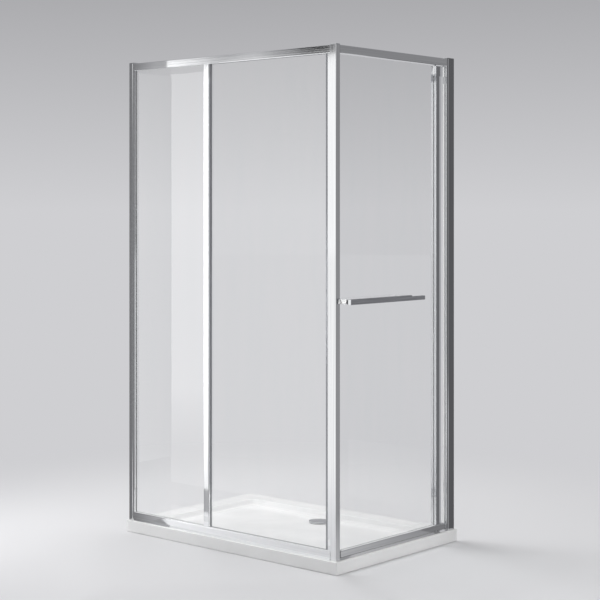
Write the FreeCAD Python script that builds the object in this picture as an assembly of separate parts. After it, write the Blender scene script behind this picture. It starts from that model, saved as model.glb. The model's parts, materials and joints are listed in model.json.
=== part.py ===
import FreeCAD, Part
import math
import os

# Corner shower enclosure on a low tray, in millimetres, +Z up.
# The origin is the middle of the tray's underside. The long screen faces -Y and the door faces +X.
# The two walls of the room stand at the tray's -X edge and at its +Y edge.

V = FreeCAD.Vector
ALONG_X = V(1, 0, 0)
ALONG_Y = V(0, 1, 0)
ALONG_Z = V(0, 0, 1)
same_height = 0.0001

# Tray
tray_length = 1200.0
tray_width = 800.0
tray_height = 50.0
tray_corner_radius = 4.0
tray_edge_radius = 3.0
rim_at_walls = 90.0
rim_at_screens = 70.0
basin_depth = 20.0
basin_fall = 4.0
basin_side_run = 24.0
basin_corner_radius = 40.0

# Waste
waste_from_back_wall = 200.0
waste_flange_radius = 43.0
waste_flange_thickness = 3.0
waste_tail_radius = 28.0
waste_socket_radius = 25.15
waste_socket_length = 14.0
waste_throat_radius = 22.0
waste_tail_floor_gap = 2.0
waste_hole_clearance = 1.0
waste_pocket_radius = 75.0
waste_pocket_depth = 12.0
waste_gasket_thickness = 1.5
locknut_radius = 38.0
locknut_height = 7.0
locknut_sides = 6
thread_clearance = 0.05
cover_radius = 45.0
cover_rim_thickness = 2.5
cover_crown = 3.0
cover_stand_off = 2.5
cover_pad_radius = 4.0
cover_pad_circle = 36.0
cover_pad_count = 3
cover_fin_thickness = 3.0
cover_fin_depth = 9.0
cover_fin_clearance = 0.4

# Frame
frame_height = 2000.0
frame_setback = 15.0
frame_depth = 25.0
profile_wall = 2.0
post_width = 30.0
profile_chamfer = 1.5
cap_thickness = 4.0
top_rail_height = 32.0
bottom_rail_height = 35.0
sill_height = 9.0
lip_flare = 4.0
stile_width = 30.0
stile_from_post = 663.0
left_profile_width = 22.0
right_profile_width = 42.0
left_jamb_reach = 10.0
right_jamb_reach = 9.0
jamb_insertion = 12.0
slide_clearance = 0.2
jamb_foot_length = 12.0
jamb_foot_thickness = 9.0

# Glass and glazing
glass_thickness = 6.0
glass_setback = 12.0
gasket_thickness = 2.0
gasket_show = 0.5
rail_groove_depth = 14.0
stile_groove_depth = 11.0
glass_edge_gap = 2.0
channel_width = 16.0
channel_setback = 4.0
channel_groove_depth = 9.0
channel_gasket_show = 14.0

# Door
door_edge_gap = 3.0
door_top_gap = 4.0
door_bottom_gap = 1.0
pivot_from_jamb = 67.0
hinge_gap = 8.0
hinge_seal_gap = 1.0
hinge_seal_width = 9.0
rail_end_from_jamb = 18.0
drip_seal_thickness = 3.0
drip_seal_height = 16.0
magnet_thickness = 2.0
magnet_width = 12.0
magnet_gap = 0.7
magnet_seal_wall = 2.0
magnet_seal_grip = 4.0
stile_bar_width = 22.0
stile_wing_width = 21.0
stile_wing_thickness = 4.0
stile_pad_thickness = 1.0
stile_screw_radius = 2.5
stile_screw_shares = (0.10, 0.37, 0.64, 0.91)
stile_screw_head_radius = 4.5
stile_screw_head_height = 2.5
stile_screw_grip = 8.0
pivot_head_height = 42.0
notch_clearance = 0.5
pivot_radius = 4.0
pivot_clearance = 0.05
bush_wall = 3.0
bush_length = 10.0
bush_end_gap = 2.0
pivot_pin_above_sill = 9.5
pivot_washer_radius = 9.0
washer_clearance = 0.1
pivot_block_length = 40.0
pivot_block_height = 20.0
pin_head_radius = 7.0
pin_head_height = 3.0
top_pin_reach = 16.0

# Handle
handle_height = 1051.5
handle_length = 481.0
handle_from_edge = 6.0
handle_bar_height = 22.0
handle_bar_depth = 18.0
handle_tail_length = 89.0
handle_tail_height = 17.0
handle_stand_off = 38.0
handle_chamfer = 2.0
standoff_size = 17.0
standoff_neck_radius = 4.0
standoff_neck_length = 6.0
standoff_washer_thickness = 1.0
rear_standoff_from_end = 110.0
handle_screw_radius = 3.0
handle_hole_clearance = 1.0
handle_screw_grip = 20.0
knob_radius = 9.0
knob_depth = 8.0
knob_recess_radius = 5.0
knob_recess_depth = 3.0

# Fasteners of the frame
key_length = 24.0
key_clearance = 0.2
screw_radius = 2.0
screw_clearance = 0.05
screw_head_radius = 4.0
screw_head_height = 2.0
screw_cap_radius = 6.0
screw_cap_height = 4.0
screw_cap_edge = 1.2
screw_cap_clearance = 0.3
jamb_screw_shares = (0.15, 0.50, 0.85)
wall_hole_radius = 3.0
wall_hole_spacing = 1600.0

# Places worked out from the sizes above
wall_x = -tray_length / 2
wall_y = tray_width / 2
face_y = -tray_width / 2 + frame_setback
face_x = tray_length / 2 - frame_setback
inner_y = face_y + frame_depth
inner_x = face_x - frame_depth
base_z = tray_height
top_z = base_z + frame_height
rail_under_z = top_z - top_rail_height
rail_over_z = base_z + bottom_rail_height
sill_top_z = base_z + sill_height
pane_y0 = face_y + glass_setback
pane_y1 = pane_y0 + glass_thickness
leaf_x1 = face_x - glass_setback
leaf_x0 = leaf_x1 - glass_thickness
post_x = face_x - post_width
stile_x1 = post_x - stile_from_post
stile_x0 = stile_x1 - stile_width
left_profile_x = wall_x + left_profile_width
left_jamb_x = left_profile_x + left_jamb_reach
right_profile_y = wall_y - right_profile_width
right_jamb_y = right_profile_y - right_jamb_reach
pivot_x = (leaf_x0 + leaf_x1) / 2
pivot_y = right_jamb_y - pivot_from_jamb
waste_y = wall_y - waste_from_back_wall
basin_floor_z = tray_height - basin_depth
sump_z = basin_floor_z - basin_fall


def block(x0, x1, y0, y1, z0, z1):
    return Part.makeBox(x1 - x0, y1 - y0, z1 - z0, V(x0, y0, z0))


def rod(radius, start, length, direction):
    return Part.makeCylinder(radius, length, start, direction)


def ring(outer, inner, start, length, direction):
    return rod(outer, start, length, direction).cut(rod(inner, start, length, direction))


def prism(points, travel):
    return Part.Face(Part.makePolygon(points + [points[0]])).extrude(travel)


# The outline of a drawn bar: a rectangle with its four corners broken
def broken_rectangle(u0, u1, v0, v1, c):
    return [(u0 + c, v0), (u1 - c, v0), (u1, v0 + c), (u1, v1 - c),
            (u1 - c, v1), (u0 + c, v1), (u0, v1 - c), (u0, v0 + c)]


def bar_along_x(x0, x1, outline):
    return prism([V(x0, y, z) for y, z in outline], ALONG_X * (x1 - x0))


def bar_along_y(y0, y1, outline):
    return prism([V(x, y0, z) for x, z in outline], ALONG_Y * (y1 - y0))


def bar_along_z(z0, z1, outline):
    return prism([V(x, y, z0) for x, y in outline], ALONG_Z * (z1 - z0))


def rounded_rectangle(x0, x1, y0, y1, z, radius):
    bulge = radius * (1 - math.sqrt(0.5))
    sides = [
        Part.LineSegment(V(x0 + radius, y0, z), V(x1 - radius, y0, z)),
        Part.Arc(V(x1 - radius, y0, z), V(x1 - bulge, y0 + bulge, z), V(x1, y0 + radius, z)),
        Part.LineSegment(V(x1, y0 + radius, z), V(x1, y1 - radius, z)),
        Part.Arc(V(x1, y1 - radius, z), V(x1 - bulge, y1 - bulge, z), V(x1 - radius, y1, z)),
        Part.LineSegment(V(x1 - radius, y1, z), V(x0 + radius, y1, z)),
        Part.Arc(V(x0 + radius, y1, z), V(x0 + bulge, y1 - bulge, z), V(x0, y1 - radius, z)),
        Part.LineSegment(V(x0, y1 - radius, z), V(x0, y0 + radius, z)),
        Part.Arc(V(x0, y0 + radius, z), V(x0 + bulge, y0 + bulge, z), V(x0 + radius, y0, z)),
    ]
    return Part.Wire([side.toShape() for side in sides])


def is_at_height(edge, z):
    return abs(edge.BoundBox.ZMin - z) < same_height and abs(edge.BoundBox.ZMax - z) < same_height


def edges_at_height(shape, z):
    return [edge for edge in shape.Edges if is_at_height(edge, z)]


def without(shape, tools):
    for tool in tools:
        shape = shape.cut(tool)
    return shape.removeSplitter().Solids[0]


def joined(shape, additions):
    for addition in additions:
        shape = shape.fuse(addition)
    return shape.removeSplitter().Solids[0]


def save(node, *solids):
    shape = solids[0] if len(solids) == 1 else Part.makeCompound(list(solids))
    shape.exportStep("parts/" + node + ".step")
    volume = sum(solid.Volume for solid in solids)
    valid = all(solid.isValid() for solid in solids)
    print(f"{node}: {len(solids)} solid(s), {volume:.0f} mm3, valid {valid}")


os.makedirs("parts", exist_ok=True)


# Tray: a solid slab with a drafted basin that falls to the waste, and a pocket under the waste
def make_tray():
    outline = rounded_rectangle(wall_x, -wall_x, -wall_y, wall_y, 0, tray_corner_radius)
    slab = Part.Face(outline).extrude(ALONG_Z * tray_height)
    x0 = wall_x + rim_at_walls
    x1 = -wall_x - rim_at_screens
    y0 = -wall_y + rim_at_screens
    y1 = wall_y - rim_at_walls
    run = basin_side_run
    mouth = rounded_rectangle(x0, x1, y0, y1, tray_height, basin_corner_radius)
    floor_radius = basin_corner_radius - run
    floor = rounded_rectangle(x0 + run, x1 - run, y0 + run, y1 - run, basin_floor_z, floor_radius)
    sump = waste_flange_radius + run
    drain = rounded_rectangle(-sump, sump, waste_y - sump, waste_y + sump, sump_z, floor_radius)
    slab = slab.cut(Part.makeLoft([mouth, floor, drain], True, True))
    slab = slab.makeFillet(tray_edge_radius, edges_at_height(slab, tray_height))
    waste_hole = rod(waste_tail_radius + waste_hole_clearance, V(0, waste_y, 0), tray_height, ALONG_Z)
    pocket = rod(waste_pocket_radius, V(0, waste_y, 0), waste_pocket_depth, ALONG_Z)
    return without(slab, [waste_hole, pocket])


save("shower_tray", make_tray())


# Waste: a flanged tail clamped to the tray by a locknut from below, with a pipe socket at its foot
flange_z = sump_z + waste_gasket_thickness
flange_top_z = flange_z + waste_flange_thickness
socket_top_z = waste_tail_floor_gap + waste_socket_length


def make_waste_body():
    flange = rod(waste_flange_radius, V(0, waste_y, flange_z), waste_flange_thickness, ALONG_Z)
    tail_start = V(0, waste_y, waste_tail_floor_gap)
    tail = rod(waste_tail_radius, tail_start, flange_z - waste_tail_floor_gap, ALONG_Z)
    socket = rod(waste_socket_radius, tail_start, waste_socket_length, ALONG_Z)
    throat = rod(waste_throat_radius, V(0, waste_y, socket_top_z), flange_top_z - socket_top_z, ALONG_Z)
    return without(joined(flange, [tail]), [socket, throat])


def make_locknut():
    z = waste_pocket_depth - locknut_height
    corners = [2 * math.pi * k / locknut_sides for k in range(locknut_sides)]
    outline = [(locknut_radius * math.cos(a), waste_y + locknut_radius * math.sin(a)) for a in corners]
    thread = rod(waste_tail_radius + thread_clearance, V(0, waste_y, z), locknut_height, ALONG_Z)
    return without(bar_along_z(z, waste_pocket_depth, outline), [thread])


# The cover is a shallow dome on three pads, centred in the throat by a cross of fins
def make_waste_cover():
    under_z = flange_top_z + cover_stand_off
    rim_z = under_z + cover_rim_thickness
    dome_radius = (cover_radius ** 2 + cover_crown ** 2) / (2 * cover_crown)
    dome = Part.makeSphere(dome_radius, V(0, waste_y, rim_z + cover_crown - dome_radius))
    crown = dome.common(rod(cover_radius, V(0, waste_y, under_z), cover_rim_thickness + cover_crown, ALONG_Z))
    pieces = []
    for k in range(cover_pad_count):
        angle = 2 * math.pi * k / cover_pad_count
        pad_x = cover_pad_circle * math.cos(angle)
        pad_y = waste_y + cover_pad_circle * math.sin(angle)
        pieces.append(rod(cover_pad_radius, V(pad_x, pad_y, flange_top_z), cover_stand_off, ALONG_Z))
    reach = waste_throat_radius - cover_fin_clearance
    half = cover_fin_thickness / 2
    fin_z = under_z - cover_stand_off - cover_fin_depth
    pieces.append(block(-reach, reach, waste_y - half, waste_y + half, fin_z, under_z))
    pieces.append(block(-half, half, waste_y - reach, waste_y + reach, fin_z, under_z))
    return joined(crown, pieces)


def make_waste_gasket():
    bore = waste_tail_radius + thread_clearance
    return ring(waste_flange_radius, bore, V(0, waste_y, sump_z), waste_gasket_thickness, ALONG_Z)


save("waste_body", make_waste_body())
save("waste_gasket", make_waste_gasket())
save("waste_locknut", make_locknut())
save("waste_cover", make_waste_cover())


# Wall profiles: channels screwed to the two walls, with a jamb that slides in each to take up the wall
wall_hole_z = [base_z + frame_height / 2 + side * wall_hole_spacing / 2 for side in (-1, 1)]
left_screw_x = left_profile_x - jamb_insertion / 2
right_screw_y = right_profile_y + jamb_insertion / 2
jamb_screw_z = [base_z + share * frame_height for share in jamb_screw_shares]
middle_y = (face_y + inner_y) / 2
middle_x = (face_x + inner_x) / 2
jamb_side = profile_wall + slide_clearance
jamb_shank = 2 * profile_wall + slide_clearance + profile_wall
screw_hole = screw_radius + screw_clearance
pane_groove_y0 = pane_y0 - gasket_thickness
pane_groove_y1 = pane_y1 + gasket_thickness


def make_left_wall_profile():
    outline = broken_rectangle(wall_x, left_profile_x, face_y, inner_y, profile_chamfer)
    channel = block(wall_x + profile_wall, left_profile_x,
                    face_y + profile_wall, inner_y - profile_wall, base_z, top_z)
    holes = [rod(wall_hole_radius, V(wall_x, middle_y, z), profile_wall, ALONG_X) for z in wall_hole_z]
    holes += [rod(screw_hole, V(left_screw_x, inner_y, z), profile_wall, -ALONG_Y) for z in jamb_screw_z]
    return without(bar_along_z(base_z, top_z, outline), [channel] + holes)


def make_right_wall_profile():
    outline = broken_rectangle(inner_x, face_x, right_profile_y, wall_y, profile_chamfer)
    channel = block(inner_x + profile_wall, face_x - profile_wall,
                    right_profile_y, wall_y - profile_wall, base_z, top_z)
    holes = [rod(wall_hole_radius, V(middle_x, wall_y, z), profile_wall, -ALONG_Y) for z in wall_hole_z]
    holes += [rod(screw_hole, V(inner_x, right_screw_y, z), profile_wall, ALONG_X) for z in jamb_screw_z]
    return without(bar_along_z(base_z, top_z, outline), [channel] + holes)


left_groove_x = left_jamb_x - stile_groove_depth
left_jamb_x0 = left_profile_x - jamb_insertion
right_jamb_y1 = right_profile_y + jamb_insertion
top_cavity_z = (rail_under_z + rail_groove_depth + profile_wall, top_z - profile_wall)
bottom_cavity_z = (base_z + profile_wall, rail_over_z - rail_groove_depth - profile_wall)
door_cavity_z = (rail_under_z + profile_wall, top_z - profile_wall)
long_key_z = [sum(top_cavity_z) / 2, sum(bottom_cavity_z) / 2]
short_key_z = sum(door_cavity_z) / 2


def make_left_jamb():
    y0 = face_y + jamb_side
    y1 = inner_y - jamb_side
    outline = broken_rectangle(left_jamb_x0, left_jamb_x, y0, y1, profile_chamfer)
    groove = block(left_groove_x, left_jamb_x, pane_groove_y0, pane_groove_y1, base_z, top_z)
    cavity = block(left_jamb_x0 + profile_wall, left_groove_x - profile_wall,
                   y0 + profile_wall, y1 - profile_wall, base_z, top_z)
    holes = [rod(screw_hole, V(left_screw_x, y1, z), profile_wall, -ALONG_Y) for z in jamb_screw_z]
    holes += [rod(screw_hole, V(left_groove_x, middle_y, z), profile_wall, -ALONG_X) for z in long_key_z]
    return without(bar_along_z(base_z, top_z, outline), [groove, cavity] + holes)


def make_right_jamb():
    x0 = inner_x + jamb_side
    x1 = face_x - jamb_side
    outline = broken_rectangle(x0, x1, right_jamb_y, right_jamb_y1, profile_chamfer)
    cavity = block(x0 + profile_wall, x1 - profile_wall,
                   right_jamb_y + profile_wall, right_jamb_y1 - profile_wall, base_z, top_z)
    holes = [rod(screw_hole, V(x0, right_screw_y, z), profile_wall, ALONG_X) for z in jamb_screw_z]
    holes.append(rod(screw_hole, V(middle_x, right_jamb_y, short_key_z), profile_wall, ALONG_Y))
    return without(bar_along_z(base_z, top_z, outline), [cavity] + holes)


save("left_wall_profile", make_left_wall_profile())
save("right_wall_profile", make_right_wall_profile())
save("left_jamb", make_left_jamb())
save("right_jamb", make_right_jamb())


# Corner post with its cap, and the caps that close the wall profiles and jambs
def make_corner_post():
    outline = broken_rectangle(post_x, face_x, face_y, inner_y, profile_chamfer)
    cavity = block(post_x + profile_wall, face_x - profile_wall,
                   face_y + profile_wall, inner_y - profile_wall, base_z, top_z)
    holes = [rod(screw_hole, V(post_x, middle_y, z), profile_wall, ALONG_X) for z in long_key_z]
    holes.append(rod(screw_hole, V(middle_x, inner_y, short_key_z), profile_wall, -ALONG_Y))
    return without(bar_along_z(base_z, top_z, outline), [cavity] + holes)


def make_cap(x0, x1, y0, y1):
    plate = bar_along_z(top_z, top_z + cap_thickness, broken_rectangle(x0, x1, y0, y1, profile_chamfer))
    return plate.makeChamfer(profile_chamfer / 2, edges_at_height(plate, top_z + cap_thickness))


save("corner_post", make_corner_post())
save("corner_post_cap", make_cap(post_x, face_x, face_y, inner_y))
save("wall_profile_caps", make_cap(wall_x, left_jamb_x, face_y, inner_y),
     make_cap(inner_x, face_x, right_jamb_y, wall_y))


# Rails of the long screen, grooved for the panes and hollow behind the groove
def make_long_top_rail():
    outline = broken_rectangle(face_y, inner_y, rail_under_z, top_z, profile_chamfer)
    groove = block(left_jamb_x, post_x, pane_groove_y0, pane_groove_y1,
                   rail_under_z, rail_under_z + rail_groove_depth)
    cavity = block(left_jamb_x, post_x, face_y + profile_wall, inner_y - profile_wall, *top_cavity_z)
    return without(bar_along_x(left_jamb_x, post_x, outline), [groove, cavity])


def make_long_bottom_rail():
    c = profile_chamfer
    outline = [(face_y - lip_flare, base_z), (inner_y, base_z),
               (inner_y, rail_over_z - c), (inner_y - c, rail_over_z),
               (face_y + c, rail_over_z), (face_y, rail_over_z - c), (face_y, sill_top_z)]
    groove = block(left_jamb_x, post_x, pane_groove_y0, pane_groove_y1,
                   rail_over_z - rail_groove_depth, rail_over_z)
    cavity = block(left_jamb_x, post_x, face_y + profile_wall, inner_y - profile_wall, *bottom_cavity_z)
    return without(bar_along_x(left_jamb_x, post_x, outline), [groove, cavity])


def make_mid_stile():
    outline = broken_rectangle(stile_x0, stile_x1, face_y, inner_y, profile_chamfer)
    z0 = rail_over_z
    z1 = rail_under_z
    left = block(stile_x0, stile_x0 + stile_groove_depth, pane_groove_y0, pane_groove_y1, z0, z1)
    right = block(stile_x1 - stile_groove_depth, stile_x1, pane_groove_y0, pane_groove_y1, z0, z1)
    return without(bar_along_z(z0, z1, outline), [left, right])


channel_x = post_x - channel_width


def make_post_glazing_channel():
    z0 = rail_over_z
    z1 = rail_under_z
    bar = block(channel_x, post_x, face_y + channel_setback, inner_y, z0, z1)
    groove = block(channel_x, channel_x + channel_groove_depth, pane_groove_y0, pane_groove_y1, z0, z1)
    return without(bar, [groove])


save("long_top_rail", make_long_top_rail())
save("long_bottom_rail", make_long_bottom_rail())
save("mid_stile", make_mid_stile())
save("post_glazing_channel", make_post_glazing_channel())


# Fixed panes, each in a U gasket that fills the grooves and shows as a thin line
pane_z0 = rail_over_z - rail_groove_depth + glass_edge_gap
pane_z1 = rail_under_z + rail_groove_depth - glass_edge_gap


def make_pane(x0, x1):
    return block(x0, x1, pane_y0, pane_y1, pane_z0, pane_z1)


def make_pane_gasket(pane, show_x0, show_x1):
    box = pane.BoundBox
    gap = glass_edge_gap
    around = block(box.XMin - gap, box.XMax + gap, pane_groove_y0, pane_groove_y1,
                   box.ZMin - gap, box.ZMax + gap)
    window = block(show_x0, show_x1, pane_groove_y0, pane_groove_y1,
                   rail_over_z + gasket_show, rail_under_z - gasket_show)
    return without(around, [window, pane])


narrow_pane = make_pane(left_groove_x + glass_edge_gap, stile_x0 + stile_groove_depth - glass_edge_gap)
wide_pane = make_pane(stile_x1 - stile_groove_depth + glass_edge_gap,
                      channel_x + channel_groove_depth - glass_edge_gap)
save("narrow_glass", narrow_pane)
save("narrow_glass_gasket", make_pane_gasket(narrow_pane, left_jamb_x + gasket_show, stile_x0 - gasket_show))
save("wide_glass", wide_pane)
save("wide_glass_gasket", make_pane_gasket(wide_pane, stile_x1 + gasket_show,
                                           channel_x - channel_gasket_show))


# Short side: the top rail, the sill under the door, and the jamb foot beside the door's lower rail
pivot_hole = pivot_radius + pivot_clearance


def make_short_top_rail():
    outline = broken_rectangle(inner_x, face_x, rail_under_z, top_z, profile_chamfer)
    cavity = block(inner_x + profile_wall, face_x - profile_wall, inner_y, right_jamb_y, *door_cavity_z)
    pin_hole = rod(pivot_hole, V(pivot_x, pivot_y, rail_under_z), profile_wall, ALONG_Z)
    return without(bar_along_y(inner_y, right_jamb_y, outline), [cavity, pin_hole])


def make_door_sill():
    outline = [(inner_x, base_z), (face_x + lip_flare, base_z), (face_x, sill_top_z), (inner_x, sill_top_z)]
    pin_hole = rod(pivot_hole, V(pivot_x, pivot_y, base_z), sill_height, ALONG_Z)
    return without(bar_along_y(inner_y, right_jamb_y, outline), [pin_hole])


save("short_top_rail", make_short_top_rail())
save("door_sill", make_door_sill())
save("jamb_foot", block(face_x - jamb_foot_thickness, face_x, right_jamb_y - jamb_foot_length, right_jamb_y,
                        sill_top_z, rail_over_z))


# A pan head screw: the seat is the plane under its head, and the shank runs along the direction
def make_screw(seat, direction, shank_length):
    head = rod(screw_head_radius, seat, screw_head_height, -direction)
    return joined(head, [rod(screw_radius, seat, shank_length, direction)])


# A snap cap over a screw head, with its outer edge rounded
def make_screw_cap(seat, outward):
    cup = rod(screw_cap_radius, seat, screw_cap_height, outward)
    side_height = screw_cap_height - screw_cap_edge
    outer_edges = [edge for edge in cup.Edges if (edge.CenterOfMass - seat).dot(outward) > side_height]
    cup = cup.makeFillet(screw_cap_edge, outer_edges)
    recess_radius = screw_head_radius + screw_cap_clearance
    return without(cup, [rod(recess_radius, seat, screw_head_height + screw_cap_clearance, outward)])


# Corner keys in the rails' ends, each drawn up by a screw from inside the post or jamb
def make_keys_and_screws():
    keys = []
    screws = []
    gap = key_clearance
    hole = key_length - gap - profile_wall
    y0 = face_y + profile_wall + gap
    y1 = inner_y - profile_wall - gap
    x0 = inner_x + profile_wall + gap
    x1 = face_x - profile_wall - gap
    for cavity, z in zip((top_cavity_z, bottom_cavity_z), long_key_z):
        z0 = cavity[0] + gap
        z1 = cavity[1] - gap
        bore = rod(screw_hole, V(left_jamb_x, middle_y, z), hole, ALONG_X)
        keys.append(without(block(left_jamb_x, left_jamb_x + key_length, y0, y1, z0, z1), [bore]))
        bore = rod(screw_hole, V(post_x, middle_y, z), hole, -ALONG_X)
        keys.append(without(block(post_x - key_length, post_x, y0, y1, z0, z1), [bore]))
        jamb_web_x = left_groove_x - profile_wall
        screws.append(make_screw(V(jamb_web_x, middle_y, z), ALONG_X, stile_groove_depth + hole))
        screws.append(make_screw(V(post_x + profile_wall, middle_y, z), -ALONG_X, hole))
    z0 = door_cavity_z[0] + gap
    z1 = door_cavity_z[1] - gap
    bore = rod(screw_hole, V(middle_x, inner_y, short_key_z), hole, ALONG_Y)
    keys.append(without(block(x0, x1, inner_y, inner_y + key_length, z0, z1), [bore]))
    bore = rod(screw_hole, V(middle_x, right_jamb_y, short_key_z), hole, -ALONG_Y)
    keys.append(without(block(x0, x1, right_jamb_y - key_length, right_jamb_y, z0, z1), [bore]))
    screws.append(make_screw(V(middle_x, inner_y - profile_wall, short_key_z), ALONG_Y, hole))
    screws.append(make_screw(V(middle_x, right_jamb_y + profile_wall, short_key_z), -ALONG_Y, hole))
    return keys, screws


corner_keys, corner_screws = make_keys_and_screws()
save("corner_keys", *corner_keys)
save("corner_screws", *corner_screws)
left_seats = [V(left_screw_x, inner_y, z) for z in jamb_screw_z]
right_seats = [V(inner_x, right_screw_y, z) for z in jamb_screw_z]
save("jamb_screws", *([make_screw(seat, -ALONG_Y, jamb_shank) for seat in left_seats]
                      + [make_screw(seat, ALONG_X, jamb_shank) for seat in right_seats]))
save("jamb_screw_caps", *([make_screw_cap(seat, ALONG_Y) for seat in left_seats]
                          + [make_screw_cap(seat, -ALONG_X) for seat in right_seats]))


# Pivots: a pin in the sill under the door, and a pin hung from a block in the top rail
door_top_z = rail_under_z - door_top_gap
door_rail_z0 = sill_top_z + door_bottom_gap
pivot_block_top_z = rail_under_z + profile_wall + pivot_block_height


def make_top_pivot_block():
    side = profile_wall + key_clearance
    half = pivot_block_length / 2
    z0 = rail_under_z + profile_wall
    body = block(inner_x + side, face_x - side, pivot_y - half, pivot_y + half, z0, pivot_block_top_z)
    return without(body, [rod(pivot_hole, V(pivot_x, pivot_y, z0), pivot_block_height, ALONG_Z)])


def make_top_pivot_pin():
    seat = V(pivot_x, pivot_y, pivot_block_top_z)
    head = rod(pin_head_radius, seat, pin_head_height, ALONG_Z)
    return joined(head, [rod(pivot_radius, seat, pivot_block_top_z - door_top_z + top_pin_reach, -ALONG_Z)])


save("top_pivot_block", make_top_pivot_block())
save("top_pivot_pin", make_top_pivot_pin())
save("bottom_pivot_pin", rod(pivot_radius, V(pivot_x, pivot_y, base_z),
                             sill_height + pivot_pin_above_sill, ALONG_Z))
save("pivot_washer", ring(pivot_washer_radius, pivot_hole, V(pivot_x, pivot_y, sill_top_z),
                          door_bottom_gap - washer_clearance, ALONG_Z))


# Seals on the fixed side: the strike magnet on the post and the seal along the hinge jamb
leaf_y1 = right_jamb_y - hinge_gap
door_edge_y = inner_y + door_edge_gap
seal_y0 = inner_y + magnet_thickness + magnet_gap
leaf_y0 = seal_y0 + magnet_seal_wall + magnet_thickness
save("post_magnet_strip", block(pivot_x - magnet_width / 2, pivot_x + magnet_width / 2,
                                inner_y, inner_y + magnet_thickness, rail_over_z, rail_under_z))
save("hinge_side_seal", block(pivot_x - hinge_seal_width / 2, pivot_x + hinge_seal_width / 2,
                              leaf_y1 + hinge_seal_gap, right_jamb_y, sill_top_z, rail_under_z))


# Door leaf: a glass pane in a lower rail, clamped by the pivot stile, with a notch for the pivot head
stile_y0 = pivot_y - stile_bar_width / 2
stile_y1 = pivot_y + stile_bar_width / 2
wing_y1 = stile_y1 + stile_wing_width
stile_z0 = rail_over_z + gasket_show
stile_z1 = door_top_z - pivot_head_height
stile_screw_z = [base_z + share * frame_height for share in stile_screw_shares]
stile_bar_depth = face_x - leaf_x1 - stile_pad_thickness
door_rail_y1 = right_jamb_y - rail_end_from_jamb
door_groove_z = rail_over_z - rail_groove_depth
handle_y0 = leaf_y0 + handle_from_edge
handle_y1 = handle_y0 + handle_length
standoff_y = [handle_y0 + standoff_size / 2, handle_y1 - rear_standoff_from_end]
washer_bore = handle_screw_radius + handle_hole_clearance


def make_door_glass():
    leaf = block(leaf_x0, leaf_x1, leaf_y0, leaf_y1, door_groove_z + glass_edge_gap, door_top_z)
    notch = block(leaf_x0, leaf_x1, stile_y0 - notch_clearance, wing_y1 + notch_clearance,
                  stile_z1 - notch_clearance, door_top_z)
    stile_hole = stile_screw_radius + handle_hole_clearance
    holes = [rod(stile_hole, V(leaf_x0, pivot_y, z), glass_thickness, ALONG_X) for z in stile_screw_z]
    holes += [rod(washer_bore, V(leaf_x0, y, handle_height), glass_thickness, ALONG_X) for y in standoff_y]
    return without(leaf, [notch] + holes)


def make_stile_half(side):
    start = leaf_x1 + stile_pad_thickness if side > 0 else leaf_x0 - stile_pad_thickness
    bar = sorted((start, start + side * stile_bar_depth))
    wing = sorted((start, start + side * stile_wing_thickness))
    half = block(bar[0], bar[1], stile_y0, stile_y1, stile_z0, stile_z1)
    return joined(half, [block(wing[0], wing[1], stile_y1, wing_y1, stile_z0, stile_z1)])


stile_screw_hole = stile_screw_radius + screw_clearance
inner_stile_x = leaf_x0 - stile_pad_thickness - stile_bar_depth
screw_end_x = leaf_x1 + stile_pad_thickness + stile_screw_grip


def make_stile_screw(z):
    seat = V(inner_stile_x + stile_screw_head_height, pivot_y, z)
    head = rod(stile_screw_head_radius, seat, stile_screw_head_height, -ALONG_X)
    return joined(head, [rod(stile_screw_radius, seat, screw_end_x - seat.x, ALONG_X)])


def stile_screw_room(z):
    shank = rod(stile_screw_hole, V(inner_stile_x, pivot_y, z), screw_end_x - inner_stile_x, ALONG_X)
    head_radius = stile_screw_head_radius + screw_clearance
    head = rod(head_radius, V(inner_stile_x, pivot_y, z), stile_screw_head_height, ALONG_X)
    return shank.fuse(head)


screw_rooms = [stile_screw_room(z) for z in stile_screw_z]
outer_pad = block(leaf_x1, leaf_x1 + stile_pad_thickness, stile_y0, wing_y1, stile_z0, stile_z1)
inner_pad = block(leaf_x0 - stile_pad_thickness, leaf_x0, stile_y0, wing_y1, stile_z0, stile_z1)
save("door_glass", make_door_glass())
save("pivot_stile_outer", without(make_stile_half(1), screw_rooms))
save("pivot_stile_inner", without(make_stile_half(-1), screw_rooms))
save("stile_pads", without(outer_pad, screw_rooms), without(inner_pad, screw_rooms))
save("stile_screws", *[make_stile_screw(z) for z in stile_screw_z])


# The pivot head tops the stile and holds the upper bush; the lower rail holds the lower one
bush_radius = pivot_hole + bush_wall
bush_seat = bush_radius + screw_clearance
top_bush_length = top_pin_reach + bush_end_gap


def make_pivot_head():
    body = block(inner_stile_x, face_x, stile_y0, wing_y1, stile_z1, door_top_z)
    return without(body, [rod(bush_seat, V(pivot_x, pivot_y, door_top_z), top_bush_length, -ALONG_Z)])


def make_door_bottom_rail():
    c = profile_chamfer
    outline = [(inner_x, door_rail_z0), (face_x, door_rail_z0), (face_x, rail_over_z - c),
               (face_x - c, rail_over_z), (inner_x + c, rail_over_z), (inner_x, rail_over_z - c)]
    groove = block(leaf_x0 - gasket_thickness, leaf_x1 + gasket_thickness, door_edge_y, door_rail_y1,
                   door_groove_z, rail_over_z)
    bush_room = rod(bush_seat, V(pivot_x, pivot_y, door_rail_z0), bush_length, ALONG_Z)
    return without(bar_along_y(door_edge_y, door_rail_y1, outline), [groove, bush_room])


def make_door_rail_gasket():
    around = block(leaf_x0 - gasket_thickness, leaf_x1 + gasket_thickness, leaf_y0, door_rail_y1,
                   door_groove_z, stile_z0)
    leaf = block(leaf_x0, leaf_x1, leaf_y0, leaf_y1, door_groove_z + glass_edge_gap, door_top_z)
    return without(around, [leaf])


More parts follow.
